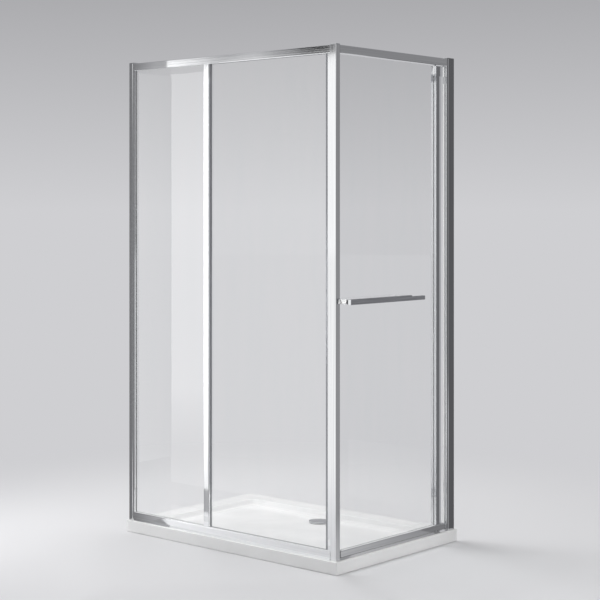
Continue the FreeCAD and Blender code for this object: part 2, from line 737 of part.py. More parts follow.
def make_door_magnet_seal():
    around = block(leaf_x0 - magnet_seal_wall, leaf_x1 + magnet_seal_wall,
                   seal_y0, leaf_y0 + magnet_seal_grip, stile_z0, door_top_z)
    leaf = block(leaf_x0, leaf_x1, leaf_y0, leaf_y1, stile_z0, door_top_z)
    return without(around, [leaf])


save("pivot_head", make_pivot_head())
save("top_pivot_bush", ring(bush_radius, pivot_hole, V(pivot_x, pivot_y, door_top_z),
                            top_bush_length, -ALONG_Z))
save("bottom_pivot_bush", ring(bush_radius, pivot_hole, V(pivot_x, pivot_y, door_rail_z0),
                               bush_length, ALONG_Z))
save("door_bottom_rail", make_door_bottom_rail())
save("door_rail_gasket", make_door_rail_gasket())
save("door_magnet_seal", make_door_magnet_seal())
save("door_drip_seal", block(inner_x - drip_seal_thickness, inner_x, door_edge_y, door_rail_y1,
                             door_rail_z0, door_rail_z0 + drip_seal_height))


# Handle: a flat bar with a slimmer tail flush below, on two standoffs bolted through the glass;
# a rubber ring fills the neck between each standoff and the bar
bar_x0 = leaf_x1 + handle_stand_off
bar_x1 = bar_x0 + handle_bar_depth
standoff_x0 = leaf_x1 + standoff_washer_thickness
knob_x1 = leaf_x0 - standoff_washer_thickness
knob_x0 = knob_x1 - knob_depth
handle_hole = handle_screw_radius + screw_clearance


def make_handle_bar():
    foot_z = handle_height - handle_bar_height / 2
    step_y = handle_y1 - handle_tail_length
    outline = broken_rectangle(bar_x0, bar_x1, foot_z, foot_z + handle_bar_height, handle_chamfer)
    bar = bar_along_y(handle_y0, step_y, outline)
    outline = broken_rectangle(bar_x0, bar_x1, foot_z, foot_z + handle_tail_height, handle_chamfer)
    return joined(bar, [bar_along_y(step_y, handle_y1, outline)])


def make_standoff(y):
    half = standoff_size / 2
    neck_x = bar_x0 - standoff_neck_length
    outline = broken_rectangle(y - half, y + half, handle_height - half, handle_height + half, handle_chamfer)
    body = bar_along_x(standoff_x0, neck_x, outline)
    neck = rod(standoff_neck_radius, V(neck_x, y, handle_height), standoff_neck_length, ALONG_X)
    thread = rod(handle_hole, V(standoff_x0, y, handle_height), handle_screw_grip, ALONG_X)
    return without(joined(body, [neck]), [thread])


def make_neck_ring(y):
    start = V(bar_x0 - standoff_neck_length, y, handle_height)
    bore = standoff_neck_radius + screw_clearance
    return ring(standoff_size / 2, bore, start, standoff_neck_length, ALONG_X)


def make_washer(x, y):
    start = V(x, y, handle_height)
    return ring(standoff_size / 2, washer_bore, start, standoff_washer_thickness, ALONG_X)


def make_knob(y):
    body = rod(knob_radius, V(knob_x0, y, handle_height), knob_depth, ALONG_X)
    shank = rod(handle_hole, V(knob_x0, y, handle_height), knob_depth, ALONG_X)
    head = rod(knob_recess_radius, V(knob_x0, y, handle_height), knob_recess_depth, ALONG_X)
    return without(body, [shank, head])


def make_handle_screw(y):
    seat = V(knob_x0 + knob_recess_depth, y, handle_height)
    head = rod(knob_recess_radius - screw_clearance, seat, knob_recess_depth, -ALONG_X)
    return joined(head, [rod(handle_screw_radius, seat, standoff_x0 + handle_screw_grip - seat.x, ALONG_X)])


save("handle_bar", make_handle_bar())
save("handle_standoffs", *[make_standoff(y) for y in standoff_y])
save("handle_neck_rings", *[make_neck_ring(y) for y in standoff_y])
save("handle_washers", *[make_washer(x, y) for y in standoff_y for x in (leaf_x1, knob_x1)])
save("handle_knobs", *[make_knob(y) for y in standoff_y])
save("handle_screws", *[make_handle_screw(y) for y in standoff_y])
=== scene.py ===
# %% [markdown]
# # A corner shower enclosure, dressed around its CAD frame
# The CAD model already holds every piece at its real size: tray, waste, profiles, panes, door and handle.
# Blender adds what the eye needs: a finish for each real material, rolled edges, a moulded tray, turned
# metal, screw heads with their recesses, and a small studio with the camera of the product picture.

# %% Load the fixed frame
import json
import math

import bmesh
import bpy
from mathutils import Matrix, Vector


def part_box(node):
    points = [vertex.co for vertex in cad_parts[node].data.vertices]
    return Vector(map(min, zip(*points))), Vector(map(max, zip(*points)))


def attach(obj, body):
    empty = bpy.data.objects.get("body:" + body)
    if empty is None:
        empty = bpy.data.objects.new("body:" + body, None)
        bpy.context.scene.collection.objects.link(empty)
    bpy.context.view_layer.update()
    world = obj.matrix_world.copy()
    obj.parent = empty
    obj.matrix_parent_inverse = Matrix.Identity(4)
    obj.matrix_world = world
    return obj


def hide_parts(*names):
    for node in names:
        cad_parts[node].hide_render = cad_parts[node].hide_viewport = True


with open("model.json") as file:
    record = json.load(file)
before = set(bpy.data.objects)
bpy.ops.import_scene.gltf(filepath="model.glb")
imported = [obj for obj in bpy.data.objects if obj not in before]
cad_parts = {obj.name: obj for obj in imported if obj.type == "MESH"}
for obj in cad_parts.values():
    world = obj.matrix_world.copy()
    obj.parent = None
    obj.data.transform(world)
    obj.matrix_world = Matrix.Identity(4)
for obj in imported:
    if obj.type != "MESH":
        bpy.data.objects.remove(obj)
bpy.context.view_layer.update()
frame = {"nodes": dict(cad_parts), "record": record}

MM = 0.001
SHOWN_DIGITS = 4          # printed lengths end at a tenth of a millimetre
nodes = frame["nodes"]
bodies = frame["record"]["behaviour"]["bodies"]
body_of = {node: body for body, members in bodies.items() for node in members}


def shown(values):
    """Numbers rounded for printing."""
    return [round(value, SHOWN_DIGITS) for value in values]


# %% [markdown]
# ## Colours and nodes
# Colours are written as sRGB hex, as a paint chart gives them, and one function turns them to the linear
# values that shaders work in. One small function adds any node with its settings, numbers and links, so a
# material reads from top to bottom like a recipe.

# %% Colour and node helpers
WHITE = "#FFFFFF"
FULL_CHANNEL = 255
SRGB_TOE = 0.04045        # the sRGB curve is straight up to here and a power from here on
SRGB_TOE_SLOPE = 12.92
SRGB_OFFSET = 0.055
SRGB_POWER = 2.4


def linear(hex_colour):
    """An sRGB hex colour such as "#E4E4E6" as linear RGBA."""
    channels = [channel / FULL_CHANNEL for channel in bytes.fromhex(hex_colour[1:])]
    return [c / SRGB_TOE_SLOPE if c <= SRGB_TOE else ((c + SRGB_OFFSET) / (1 + SRGB_OFFSET)) ** SRGB_POWER
            for c in channels] + [1.0]


def add_node(tree, kind, values=None, links=None, stops=None, **settings):
    """Adds one node: settings are its properties, values its plain inputs, links what feeds the others.

    A colour ramp also takes its stops, as places with their hex colours.
    """
    made = tree.nodes.new(kind)
    for name, value in settings.items():
        setattr(made, name, value)
    for socket, value in (values or {}).items():
        made.inputs[socket].default_value = value
    for socket, source in (links or {}).items():
        tree.links.new(source, made.inputs[socket])
    if stops:
        elements = made.color_ramp.elements
        while len(elements) < len(stops):
            elements.new(1.0)
        while len(elements) > len(stops):
            elements.remove(elements[-1])
        for element, place in zip(elements, stops):
            element.position = place
        for element, colour in zip(elements, stops.values()):
            element.color = linear(colour)
    return made


def new_material(name):
    """An empty node material: returns it and its tree."""
    material = bpy.data.materials.new(name)
    material.use_nodes = True
    material.node_tree.nodes.clear()
    return material, material.node_tree


print("mid grey", shown(linear("#808080")))

# %% [markdown]
# ## One recipe for a patterned finish
# No real surface is even: drawn metal has lines, rubber has a grain, chrome shows a breath of handling.
# Here a noise with the size of the real pattern moves the tone and the gloss together, and the relief
# where it can be felt. A painted picture could do the same, but a noise has no seam and needs no file.

# %% The patterned finish
NOISE_RANGE = (0.3, 0.7)  # a noise seldom leaves this range, so tones are spread over it


def patterned(name, sizes, tones, gloss, gloss_over, detail, breakup=0.5, relief=None, shader=None):
    """A material whose tone, gloss and relief follow one noise with the given lengths along x, y and z.

    tones and gloss are pairs for its low and high end, gloss_over is the part of the noise that the gloss
    is spread over, relief is a strength and a depth, and shader holds plain numbers for the shader.
    """
    material, tree = new_material(name)
    place = add_node(tree, "ShaderNodeTexCoord")
    steps = add_node(tree, "ShaderNodeMapping", {"Scale": [1 / size for size in sizes]},
                     {"Vector": place.outputs["Object"]})
    noise = add_node(tree, "ShaderNodeTexNoise", {"Scale": 1.0, "Detail": detail, "Roughness": breakup},
                     {"Vector": steps.outputs[0]}).outputs["Fac"]
    tone = add_node(tree, "ShaderNodeValToRGB", None, {"Fac": noise}, dict(zip(NOISE_RANGE, tones)))
    dullness = add_node(tree, "ShaderNodeMapRange",
                        {"From Min": gloss_over[0], "From Max": gloss_over[1],
                         "To Min": gloss[0], "To Max": gloss[1]}, {"Value": noise})
    feeds = {"Base Color": tone.outputs["Color"], "Roughness": dullness.outputs["Result"]}
    if relief:
        bump = add_node(tree, "ShaderNodeBump", {"Strength": relief[0], "Distance": relief[1]},
                        {"Height": noise})
        feeds["Normal"] = bump.outputs["Normal"]
    body = add_node(tree, "ShaderNodeBsdfPrincipled", shader, feeds)
    add_node(tree, "ShaderNodeOutputMaterial", None, {"Surface": body.outputs[0]})
    return material


print("tones spread over", NOISE_RANGE)

# %% [markdown]
# ## Bright aluminium
# The profiles are aluminium extrusions, bright-dipped and anodised until they pass for chrome. The die that
# they are pulled through leaves faint lines along the length, so the mirror is a little soft across them.
# A noise stretched along the extrusion gives the lines; each run direction has its own copy of the recipe.
# The door's pivot stile and its head have a copy with a darker tone: painted shade that dims what they
# mirror.

# %% Bright aluminium, one copy for each run direction
DIE_LINE = 3 * MM         # real lines are about 0.3 mm apart; drawn ten times coarser so that they show
DIE_LINE_LENGTH = 600 * MM


def drawn_aluminium(name, axis, *tones):
    """An extrusion whose die lines run along x, y or z: a crisp mirror, soft across the lines."""
    sizes = [DIE_LINE_LENGTH if letter == axis else DIE_LINE for letter in "xyz"]
    return patterned(name, sizes, tones, gloss=(0.03, 0.09), gloss_over=NOISE_RANGE, detail=3.0,
                     relief=(0.04, 0.1 * MM), shader={"Metallic": 1.0})


aluminium = {axis: drawn_aluminium("bright_aluminium_along_" + axis, axis, "#E4E5E7", "#F2F3F4")
             for axis in "xyz"}
# a darker copy for the pivot stile and its head: painted shade on what they mirror
shaded_pivot_aluminium = drawn_aluminium("shaded_pivot_aluminium", "z", "#C8C9CC", "#D7D8DB")
print("aluminium finishes", [m.name for m in aluminium.values()], shaded_pivot_aluminium.name)

# %% [markdown]
# ## Chrome plate
# The handle, the caps and the waste are brass or zinc under bright chrome. Chrome is a clean mirror with a
# cool cast; what shows on it is a breath of handling, broad soft patches where the gloss drops a little.
# The handle's long faces are linished before plating, so a second copy is streaked along the bar; its darker
# tone is painted shade on those faces.

# %% Chrome plate, polished, and linished with painted shade
HANDLING_PATCH = 30 * MM
LINISH_LINE = 5 * MM      # real linishing is about 0.2 mm; drawn coarser so that it shows
LINISH_LENGTH = 160 * MM


def chrome_plate(name, sizes, tones, gloss):
    """Bright chrome: a cool, level mirror, its tone and gloss broken by patches or streaks."""
    return patterned(name, sizes, tones, gloss, gloss_over=NOISE_RANGE, detail=4.0, breakup=0.6,
                     shader={"Metallic": 1.0})


chrome = chrome_plate("chrome_plate_polished", [HANDLING_PATCH] * 3, ("#DFE1E3", "#EEF0F2"),
                      gloss=(0.02, 0.07))
# streaked by the linishing, and darker: painted shade
linished_shaded_chrome = chrome_plate("chrome_plate_linished_shaded", [LINISH_LINE, LINISH_LENGTH, LINISH_LINE],
                               ("#B2B3B7", "#CBCCD0"), gloss=(0.08, 0.18))
print("chrome finishes", chrome.name, linished_shaded_chrome.name)

# %% [markdown]
# ## Toughened glass
# The panes are 6 mm clear float glass, toughened in a furnace. It is nearly invisible: a mirror that wakes
# up at a slant, and the ghost of water that has run down and dried, a noise stretched upright. The glass
# shader would throw a black shadow under a lamp, so shadow rays meet a clear one, as light passes glass.

# %% Toughened glass
WATER_MARK = 45 * MM
WATER_RUN = 400 * MM
CLEAR_TINT = "#FDFEFE"


def toughened_glass():
    """Clear toughened float glass: colourless and sharp, with the ghost of water runs down the pane."""
    material, tree = new_material("toughened_clear_glass")
    place = add_node(tree, "ShaderNodeTexCoord")
    steps = [1 / WATER_MARK, 1 / WATER_MARK, 1 / WATER_RUN]
    runs = add_node(tree, "ShaderNodeMapping", {"Scale": steps}, {"Vector": place.outputs["Object"]})
    marks = add_node(tree, "ShaderNodeTexNoise", {"Scale": 1.0, "Detail": 5.0}, {"Vector": runs.outputs[0]})
    tint = add_node(tree, "ShaderNodeValToRGB", None, {"Fac": marks.outputs["Fac"]},
                    dict(zip(NOISE_RANGE, (CLEAR_TINT, WHITE))))
    pane = add_node(tree, "ShaderNodeBsdfPrincipled",
                    {"IOR": 1.5, "Roughness": 0.0, "Transmission Weight": 1.0},
                    {"Base Color": tint.outputs["Color"]})
    clear = add_node(tree, "ShaderNodeBsdfTransparent", {"Color": linear(CLEAR_TINT)})
    path = add_node(tree, "ShaderNodeLightPath")
    both = add_node(tree, "ShaderNodeMixShader", None,
                    {0: path.outputs["Is Shadow Ray"], 1: pane.outputs[0], 2: clear.outputs[0]})
    add_node(tree, "ShaderNodeOutputMaterial", None, {"Surface": both.outputs[0]})
    return material


glass = toughened_glass()
print("glass", glass.name)

# %% [markdown]
# ## White acrylic
# The tray is stone resin under a white acrylic skin. Acrylic is glossy but not flat: the mould leaves a slow
# ripple, and cleaning takes the gloss off unevenly. Both are noises, one for the relief, one for the gloss.

# %% Acrylic of the tray
MOULD_RIPPLE = 40 * MM
CLEANING_PATCH = 150 * MM


def white_acrylic():
    """Moulded white acrylic: a bright body colour under a soft, slightly uneven gloss."""
    material, tree = new_material("moulded_white_acrylic")
    place = add_node(tree, "ShaderNodeTexCoord").outputs["Object"]
    ripple = add_node(tree, "ShaderNodeTexNoise", {"Scale": 1 / MOULD_RIPPLE, "Detail": 2.0},
                      {"Vector": place})
    patches = add_node(tree, "ShaderNodeTexNoise", {"Scale": 1 / CLEANING_PATCH, "Detail": 4.0},
                       {"Vector": place})
    body = add_node(tree, "ShaderNodeValToRGB", None, {"Fac": patches.outputs["Fac"]},
                    dict(zip(NOISE_RANGE, ("#F1F1F1", "#F7F7F7"))))
    gloss = add_node(tree, "ShaderNodeMapRange", {"To Min": 0.14, "To Max": 0.26},
                     {"Value": patches.outputs["Fac"]})
    relief = add_node(tree, "ShaderNodeBump", {"Strength": 0.03, "Distance": 0.5 * MM},
                      {"Height": ripple.outputs["Fac"]})
    moulding = add_node(tree, "ShaderNodeBsdfPrincipled", {"IOR": 1.49},
                        {"Base Color": body.outputs["Color"], "Roughness": gloss.outputs["Result"],
                         "Normal": relief.outputs["Normal"]})
    add_node(tree, "ShaderNodeOutputMaterial", None, {"Surface": moulding.outputs[0]})
    return material


acrylic = white_acrylic()
print("tray", acrylic.name)

# %% [markdown]
# ## Seals and small parts
# The glazing gasket is grey rubber and the rings behind the handle black rubber. The seals are soft clear
# vinyl, the bushes, screw covers and handle blocks white nylon, the screws stainless steel and the hidden
# keys cast zinc. All of them take the patterned recipe with one fine grain, so a table of their numbers says
# what differs from one to the next.

# %% Rubber, vinyl, nylon, stainless steel and cast zinc
GRAIN_DETAIL = 4.0
GRAIN_STRENGTH = 0.2
WHOLE_NOISE = (0.0, 1.0)
SMALL_PART_FINISHES = {   # grain size, tones and gloss at its low and high end, depth of the grain, shader
    # dull and soft, a grey line along the glass
    "glazing_rubber": (2 * MM, ("#9FA1A5", "#B1B3B7"), (0.5, 0.7), 0.1 * MM, {"IOR": 1.52}),
    # nearly black, and as dull
    "black_rubber": (2 * MM, ("#29292A", "#3A3A3C"), (0.5, 0.7), 0.1 * MM, {"IOR": 1.52}),
    # milky and wet-looking, a little light comes through
    "clear_soft_vinyl": (8 * MM, ("#F1F3F3", "#FAFBFB"), (0.15, 0.3), 0.1 * MM,
                         {"IOR": 1.53, "Transmission Weight": 0.2}),
    # a waxy white with a faint sheen
    "moulded_white_nylon": (3 * MM, ("#F3F3F2", "#FAFAF9"), (0.35, 0.5), 0.05 * MM, {"IOR": 1.53}),
    # a grey metal with a satin shine
    "turned_stainless_steel": (1.5 * MM, ("#A9AAAC", "#C6C7C9"), (0.2, 0.35), 0.02 * MM, {"Metallic": 1.0}),
    # a dark, dull metal, rough from the die
    "cast_zinc": (2.5 * MM, ("#84878A", "#9EA1A4"), (0.4, 0.6), 0.1 * MM, {"Metallic": 1.0}),
}
small_parts = {}
for name, (grain, tones, gloss, depth, shader) in SMALL_PART_FINISHES.items():
    small_parts[name] = patterned(name, [grain] * 3, tones, gloss, WHOLE_NOISE, GRAIN_DETAIL,
                                  relief=(GRAIN_STRENGTH, depth), shader=shader)
print("small parts", list(small_parts))

# %% [markdown]
# ## Give every CAD node its finish
# The record names a slot for each node, and each slot has one of the finishes above. A profile takes the
# copy of the aluminium whose lines run along its longest side, as it came out of the die.

# %% Finishes by slot
FINISH_OF_SLOT = {
    "tray_acrylic": acrylic,
    "chrome_plate": chrome,
    "clear_glass": glass,
    "grey_rubber": small_parts["glazing_rubber"],
    "black_rubber": small_parts["black_rubber"],
    "clear_vinyl": small_parts["clear_soft_vinyl"],
    "white_nylon": small_parts["moulded_white_nylon"],
    "stainless_steel": small_parts["turned_stainless_steel"],
    "cast_zinc": small_parts["cast_zinc"],
}


def longest_axis(name):
    """x, y or z: the direction that a node is longest in."""
    low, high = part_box(name)
    size = high - low
    return "xyz"[max(range(3), key=lambda i: size[i])]


slot_of = {name: node.material_slots[0].material.name for name, node in nodes.items()}
finish_of = {name: FINISH_OF_SLOT.get(slot) or aluminium[longest_axis(name)]
             for name, slot in slot_of.items()}
# the pivot stile and its head take the darker copy, painted shade
for name in ("pivot_stile_outer", "pivot_stile_inner", "pivot_head"):
    finish_of[name] = shaded_pivot_aluminium
for name, node in nodes.items():
    node.material_slots[0].material = finish_of[name]
print("finished nodes", len(finish_of))

# %% [markdown]
# ## Shared tools for shaped pieces
# Most moulded and turned pieces are a cross-section carried along a path: round the tray, round an axis, or
# along a bar. So a few small functions do all of them: one rounds the corners of a section, one makes a
# rounded rectangle, one turns a section about an axis, and one skins a stack of rings.

# %% Rounded sections and rings
ARC_STEPS = 6
CORNER_STEPS = 8
TURN_STEPS = 48


def rounded_path(points, radii):
    """A polyline in a plane with each inner corner replaced by an arc of its radius."""
    path = [Vector(points[0])]
    for before, corner, after, radius in zip(points, points[1:], points[2:], radii):
        corner = Vector(corner)
        back = (Vector(before) - corner).normalized()
        ahead = (Vector(after) - corner).normalized()
        half_turn = (math.pi - back.angle(ahead)) / 2
        start = corner + back * radius * math.tan(half_turn)
        centre = corner + (back + ahead).normalized() * radius / math.cos(half_turn)
        spoke = start - centre
        turn = 2 * half_turn * (1 if back.cross(ahead) < 0 else -1)
        for k in range(ARC_STEPS + 1):
            angle = turn * k / ARC_STEPS
            path.append(centre + Vector((spoke.x * math.cos(angle) - spoke.y * math.sin(angle),
                                         spoke.x * math.sin(angle) + spoke.y * math.cos(angle))))
    path.append(Vector(points[-1]))
    return path


def rounded_ring(low, high, radius, z):
    """A rounded rectangle seen from above, anticlockwise from the corner at +x and +y, in metres."""
    corners = [(high[0], high[1]), (low[0], high[1]), (low[0], low[1]), (high[0], low[1])]
    signs = [(-1, -1), (1, -1), (1, 1), (-1, 1)]
    ring = []
    for quarter, (corner, sign) in enumerate(zip(corners, signs)):
        for k in range(CORNER_STEPS + 1):
            angle = math.pi / 2 * (quarter + k / CORNER_STEPS)
            ring.append((corner[0] + sign[0] * radius + radius * math.cos(angle),
                         corner[1] + sign[1] * radius + radius * math.sin(angle), z))
    return ring


def inset_rings(low, high, corner, section):
    """Rings for a section of (inset, height) pairs, measured inwards from a rounded rectangle."""
    return [rounded_ring(low + Vector((inset, inset)), high - Vector((inset, inset)), corner - inset, z)
            for inset, z in section]


def turned_rings(section, centre=(0, 0)):
    """Rings for a section of (radius, height) pairs turned about an upright axis through centre."""
    angles = [2 * math.pi * k / TURN_STEPS for k in range(TURN_STEPS)]
    return [[(centre[0] + r * math.cos(a), centre[1] + r * math.sin(a), z) for a in angles]
            for r, z in section]


print("arcs of", ARC_STEPS, "steps, turned pieces of", TURN_STEPS)

# %% Skins and finished pieces
WELD_GAP = 0.001 * MM
LEAST_EDGE_ANGLE = math.radians(35)


def skin(mesh, rings, capped=False):
    """Adds quads between neighbouring rings of equal length, and closes both ends of the stack if asked."""
    rows = [[mesh.verts.new(point) for point in ring] for ring in rings]
    count = len(rows[0])
    for lower, upper in zip(rows, rows[1:]):
        for k in range(count):
            after = (k + 1) % count
            mesh.faces.new((lower[k], lower[after], upper[after], upper[k]))
    if capped:
        mesh.faces.new(rows[0])
        mesh.faces.new(rows[-1])


def link_object(name, data):
    """An object for a mesh, a lamp or a camera, linked to the scene."""
    made = bpy.data.objects.new(name, data)
    bpy.context.scene.collection.objects.link(made)
    return made


def finish_mesh(name, mesh, *materials):
    """Merges doubles, turns faces outwards, shades round faces smooth and links the piece."""
    bmesh.ops.remove_doubles(mesh, verts=mesh.verts, dist=WELD_GAP)
    bmesh.ops.recalc_face_normals(mesh, faces=mesh.faces)
    for face in mesh.faces:
        face.smooth = True
    for edge in mesh.edges:
        edge.smooth = edge.is_manifold and edge.calc_face_angle() < LEAST_EDGE_ANGLE
    data = bpy.data.meshes.new(name)
    mesh.to_mesh(data)
    mesh.free()
    for material in materials:
        data.materials.append(material)
    return link_object(name, data)


def even_shading(piece):
    """Weights the normals by face size, so that flats stay flat beside their rounded edges."""
    even = piece.modifiers.new("even_shading", "WEIGHTED_NORMAL")
    even.keep_sharp = True


def stand_in(piece, *names):
    """The piece takes the place of CAD nodes of one body: it rides on their body and the nodes are hidden.
    """
    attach(piece, body_of[names[0]])
    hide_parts(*names)


print("edges stay crisp from", round(math.degrees(LEAST_EDGE_ANGLE)), "degrees")

# %% [markdown]
# ## The tray, lofted from rings
# A moulded tray has no sharp line: the rim rolls over into the basin, and the basin's side flows into a
# floor that falls to the waste. One cross-section with rounded corners is carried round the tray as a stack
# of rounded rectangles, and the stack is skinned. Subdividing a box would blur the crisp outer edge instead.

# %% The tray
TRAY_CORNER = 4 * MM
TRAY_EDGE = 3 * MM
RIM_AT_WALLS = 90 * MM
RIM_AT_SCREENS = 70 * MM
BASIN_DEPTH = 20 * MM
BASIN_RUN = 24 * MM
BASIN_CORNER = 40 * MM
MOUTH_ROLL = 12 * MM
FLOOR_ROLL = 28 * MM
FLOOR_FALL = 4 * MM
SUMP_HALF = 67 * MM
WASTE_HOLE = 29 * MM
POCKET_RADIUS = 75 * MM
POCKET_DEPTH = 12 * MM
FOOT_ROLL = 1.5 * MM

tray_low, tray_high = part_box("shower_tray")
cover_low, cover_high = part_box("waste_cover")
waste = (cover_low + cover_high) / 2
basin_low = tray_low.xy + Vector((RIM_AT_WALLS, RIM_AT_SCREENS))
basin_high = tray_high.xy - Vector((RIM_AT_SCREENS, RIM_AT_WALLS))
rim_z = tray_high.z
floor_z = rim_z - BASIN_DEPTH
sump_z = floor_z - FLOOR_FALL


def round_the_waste(half, corner, z):
    """One ring centred on the waste; a corner radius equal to the half size makes it a circle."""
    reach = Vector((half, half))
    return rounded_ring(waste.xy - reach, waste.xy + reach, corner, z)


outside = rounded_path([(FOOT_ROLL, 0), (0, FOOT_ROLL), (0, rim_z), (TRAY_EDGE, rim_z)],
                       (FOOT_ROLL / 2, TRAY_EDGE))
inside = rounded_path([(-BASIN_RUN, rim_z), (0, rim_z), (BASIN_RUN, floor_z), (2 * BASIN_RUN, floor_z)],
                      (MOUTH_ROLL, FLOOR_ROLL))
pocket = round_the_waste(POCKET_RADIUS, POCKET_RADIUS, 0)
rings = [pocket]
rings += inset_rings(tray_low.xy, tray_high.xy, TRAY_CORNER, outside[:-1])
rings += inset_rings(basin_low, basin_high, BASIN_CORNER, inside[1:-1])
rings.append(round_the_waste(SUMP_HALF, BASIN_CORNER - BASIN_RUN, sump_z))
rings.append(round_the_waste(WASTE_HOLE, WASTE_HOLE, sump_z))
rings.append(round_the_waste(WASTE_HOLE, WASTE_HOLE, POCKET_DEPTH))
rings.append(round_the_waste(POCKET_RADIUS, POCKET_RADIUS, POCKET_DEPTH))
rings.append(pocket)
tray_mesh = bmesh.new()
skin(tray_mesh, rings)
tray = finish_mesh("moulded_tray", tray_mesh, acrylic)
even_shading(tray)
stand_in(tray, "shower_tray")
print("tray rings", len(rings), "faces", len(tray.data.polygons))

# %% [markdown]
# ## The waste, turned
# The cover is a pressed chrome dome that stands a slot's width above the waste, so that water runs in all
# round. It rests on three pegs, and a cross of fins below centres it in the throat. Dome, pegs and waste
# body are turned from half sections; the fins are two thin blocks with rounded edges.

# %% The waste cover
COVER_CROWN = 3 * MM
COVER_RIM = 2.5 * MM
COVER_STAND_OFF = 2.5 * MM
COVER_ROLL = 1.2 * MM
DOME_STEPS = 8
PEG_RADIUS = 4 * MM
PEG_CIRCLE = 36 * MM
PEG_COUNT = 3
FIN_THICKNESS = 3 * MM
FIN_REACH = 21.6 * MM
FIN_ROLL = 0.6 * MM

cover_radius = (cover_high.x - cover_low.x) / 2
cover_top = cover_high.z
rim_top = cover_top - COVER_CROWN
rim_under = rim_top - COVER_RIM
rim_middle = rim_under + COVER_RIM / 2
peg_foot = rim_under - COVER_STAND_OFF
dome_radius = (cover_radius ** 2 + COVER_CROWN ** 2) / (2 * COVER_CROWN)


def dome_height(radius):
    """The height of the crown at a distance from its axis: a cap of a large sphere."""
    return cover_top - dome_radius + math.sqrt(dome_radius ** 2 - radius ** 2)


def add_fin(mesh, half_x, half_y):
    """One upright fin under the cover, with its corners and its lower edge rounded."""
    reach = Vector((half_x, half_y))
    roll = Vector((FIN_ROLL, FIN_ROLL)) / 2
    foot = rounded_ring(waste.xy - reach + roll, waste.xy + reach - roll, FIN_ROLL / 2, cover_low.z)
    shoulder = rounded_ring(waste.xy - reach, waste.xy + reach, FIN_ROLL, cover_low.z + FIN_ROLL / 2)
    top = rounded_ring(waste.xy - reach, waste.xy + reach, FIN_ROLL, rim_middle)
    skin(mesh, [foot, shoulder, top], capped=True)


crown_start = cover_radius - 2 * COVER_ROLL
crown_radii = [crown_start * (1 - k / DOME_STEPS) for k in range(DOME_STEPS + 1)]
crown = [(radius, dome_height(radius)) for radius in crown_radii]
rim = rounded_path([(0, rim_under), (cover_radius, rim_under), (cover_radius, rim_top), crown[0]],
                   (COVER_ROLL / 2, COVER_ROLL))
peg = rounded_path([(0, peg_foot), (PEG_RADIUS, peg_foot), (PEG_RADIUS, rim_middle), (0, rim_middle)],
                   (FIN_ROLL, FIN_ROLL))
cover_mesh = bmesh.new()
skin(cover_mesh, turned_rings(rim + crown[1:], waste.xy))
for k in range(PEG_COUNT):
    angle = 2 * math.pi * k / PEG_COUNT
    centre = waste.xy + PEG_CIRCLE * Vector((math.cos(angle), math.sin(angle)))
    skin(cover_mesh, turned_rings(peg, centre))
add_fin(cover_mesh, FIN_REACH, FIN_THICKNESS / 2)
add_fin(cover_mesh, FIN_THICKNESS / 2, FIN_REACH)
cover = finish_mesh("pressed_waste_cover", cover_mesh, chrome)
stand_in(cover, "waste_cover")
print("waste cover radius", shown([cover_radius]), "faces", len(cover.data.polygons))

# %% [markdown]
# ## Waste body, bushes and pivot pins
# These are all turned on a lathe or moulded round, so each is a half section turned about its node's axis.
# A plain cylinder would do from afar, but the fine edges catch the light when the door stands open.

# %% The waste body and the small turned parts
FLANGE_THICKNESS = 3 * MM
THROAT_RADIUS = 22 * MM
TAIL_RADIUS = 28 * MM
TAIL_BORE = 28.05 * MM
SOCKET_RADIUS = 25.15 * MM
SOCKET_LENGTH = 14 * MM
PIVOT_RADIUS = 4 * MM
PIVOT_BORE = 4.05 * MM
PIN_HEAD_HEIGHT = 3 * MM
FINE_EDGE = 0.3 * MM
SOFT_EDGE = 1.0 * MM
BORE_OF = {"waste_gasket": TAIL_BORE, "top_pivot_bush": PIVOT_BORE, "bottom_pivot_bush": PIVOT_BORE,
           "pivot_washer": PIVOT_BORE}


def waste_section(flange_radius, foot, top):
    """The half section of the waste: a throat under a flange, and a socket for the pipe at its foot."""
    under = top - FLANGE_THICKNESS
    step = foot + SOCKET_LENGTH
    middle = (THROAT_RADIUS, (step + top) / 2)
    points = [middle, (THROAT_RADIUS, top), (flange_radius, top), (flange_radius, under),
              (TAIL_RADIUS, under), (TAIL_RADIUS, foot), (SOCKET_RADIUS, foot), (SOCKET_RADIUS, step),
              (THROAT_RADIUS, step), middle]
    return rounded_path(points, [SOFT_EDGE] * 2 + [FINE_EDGE] * 6)


def tube_section(bore, radius, foot, top):
    """The half section of a bush, washer or ring, with fine edges."""
    middle = (bore, (foot + top) / 2)
    return rounded_path([middle, (bore, top), (radius, top), (radius, foot), (bore, foot), middle],
                        [FINE_EDGE] * 4)


def headed_pin_section(head_radius, foot, top):
    """The half section of the upper pivot pin: a shank with a rounded foot under a head."""
    seat = top - PIN_HEAD_HEIGHT
    points = [(0, foot), (PIVOT_RADIUS, foot), (PIVOT_RADIUS, seat), (head_radius, seat), (head_radius, top),
              (0, top)]
    return rounded_path(points, [SOFT_EDGE, FINE_EDGE, FINE_EDGE, SOFT_EDGE])


def plain_pin_section(radius, foot, top):
    """The half section of the lower pivot pin: a plain shank with soft ends."""
    return rounded_path([(0, foot), (radius, foot), (radius, top), (0, top)], [SOFT_EDGE] * 2)


def turn_node(name, section_of, *sizes):
    """Turns a section about a node's upright axis, fitted to its box, and stands it in for the node."""
    low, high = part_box(name)
    mesh = bmesh.new()
    section = section_of(*sizes, (high.x - low.x) / 2, low.z, high.z)
    skin(mesh, turned_rings(section, ((low + high) / 2).xy))
    piece = finish_mesh("turned_" + name, mesh, finish_of[name])
    even_shading(piece)
    stand_in(piece, name)


turn_node("waste_body", waste_section)
for name, bore in BORE_OF.items():
    turn_node(name, tube_section, bore)
turn_node("top_pivot_pin", headed_pin_section)
turn_node("bottom_pivot_pin", plain_pin_section)
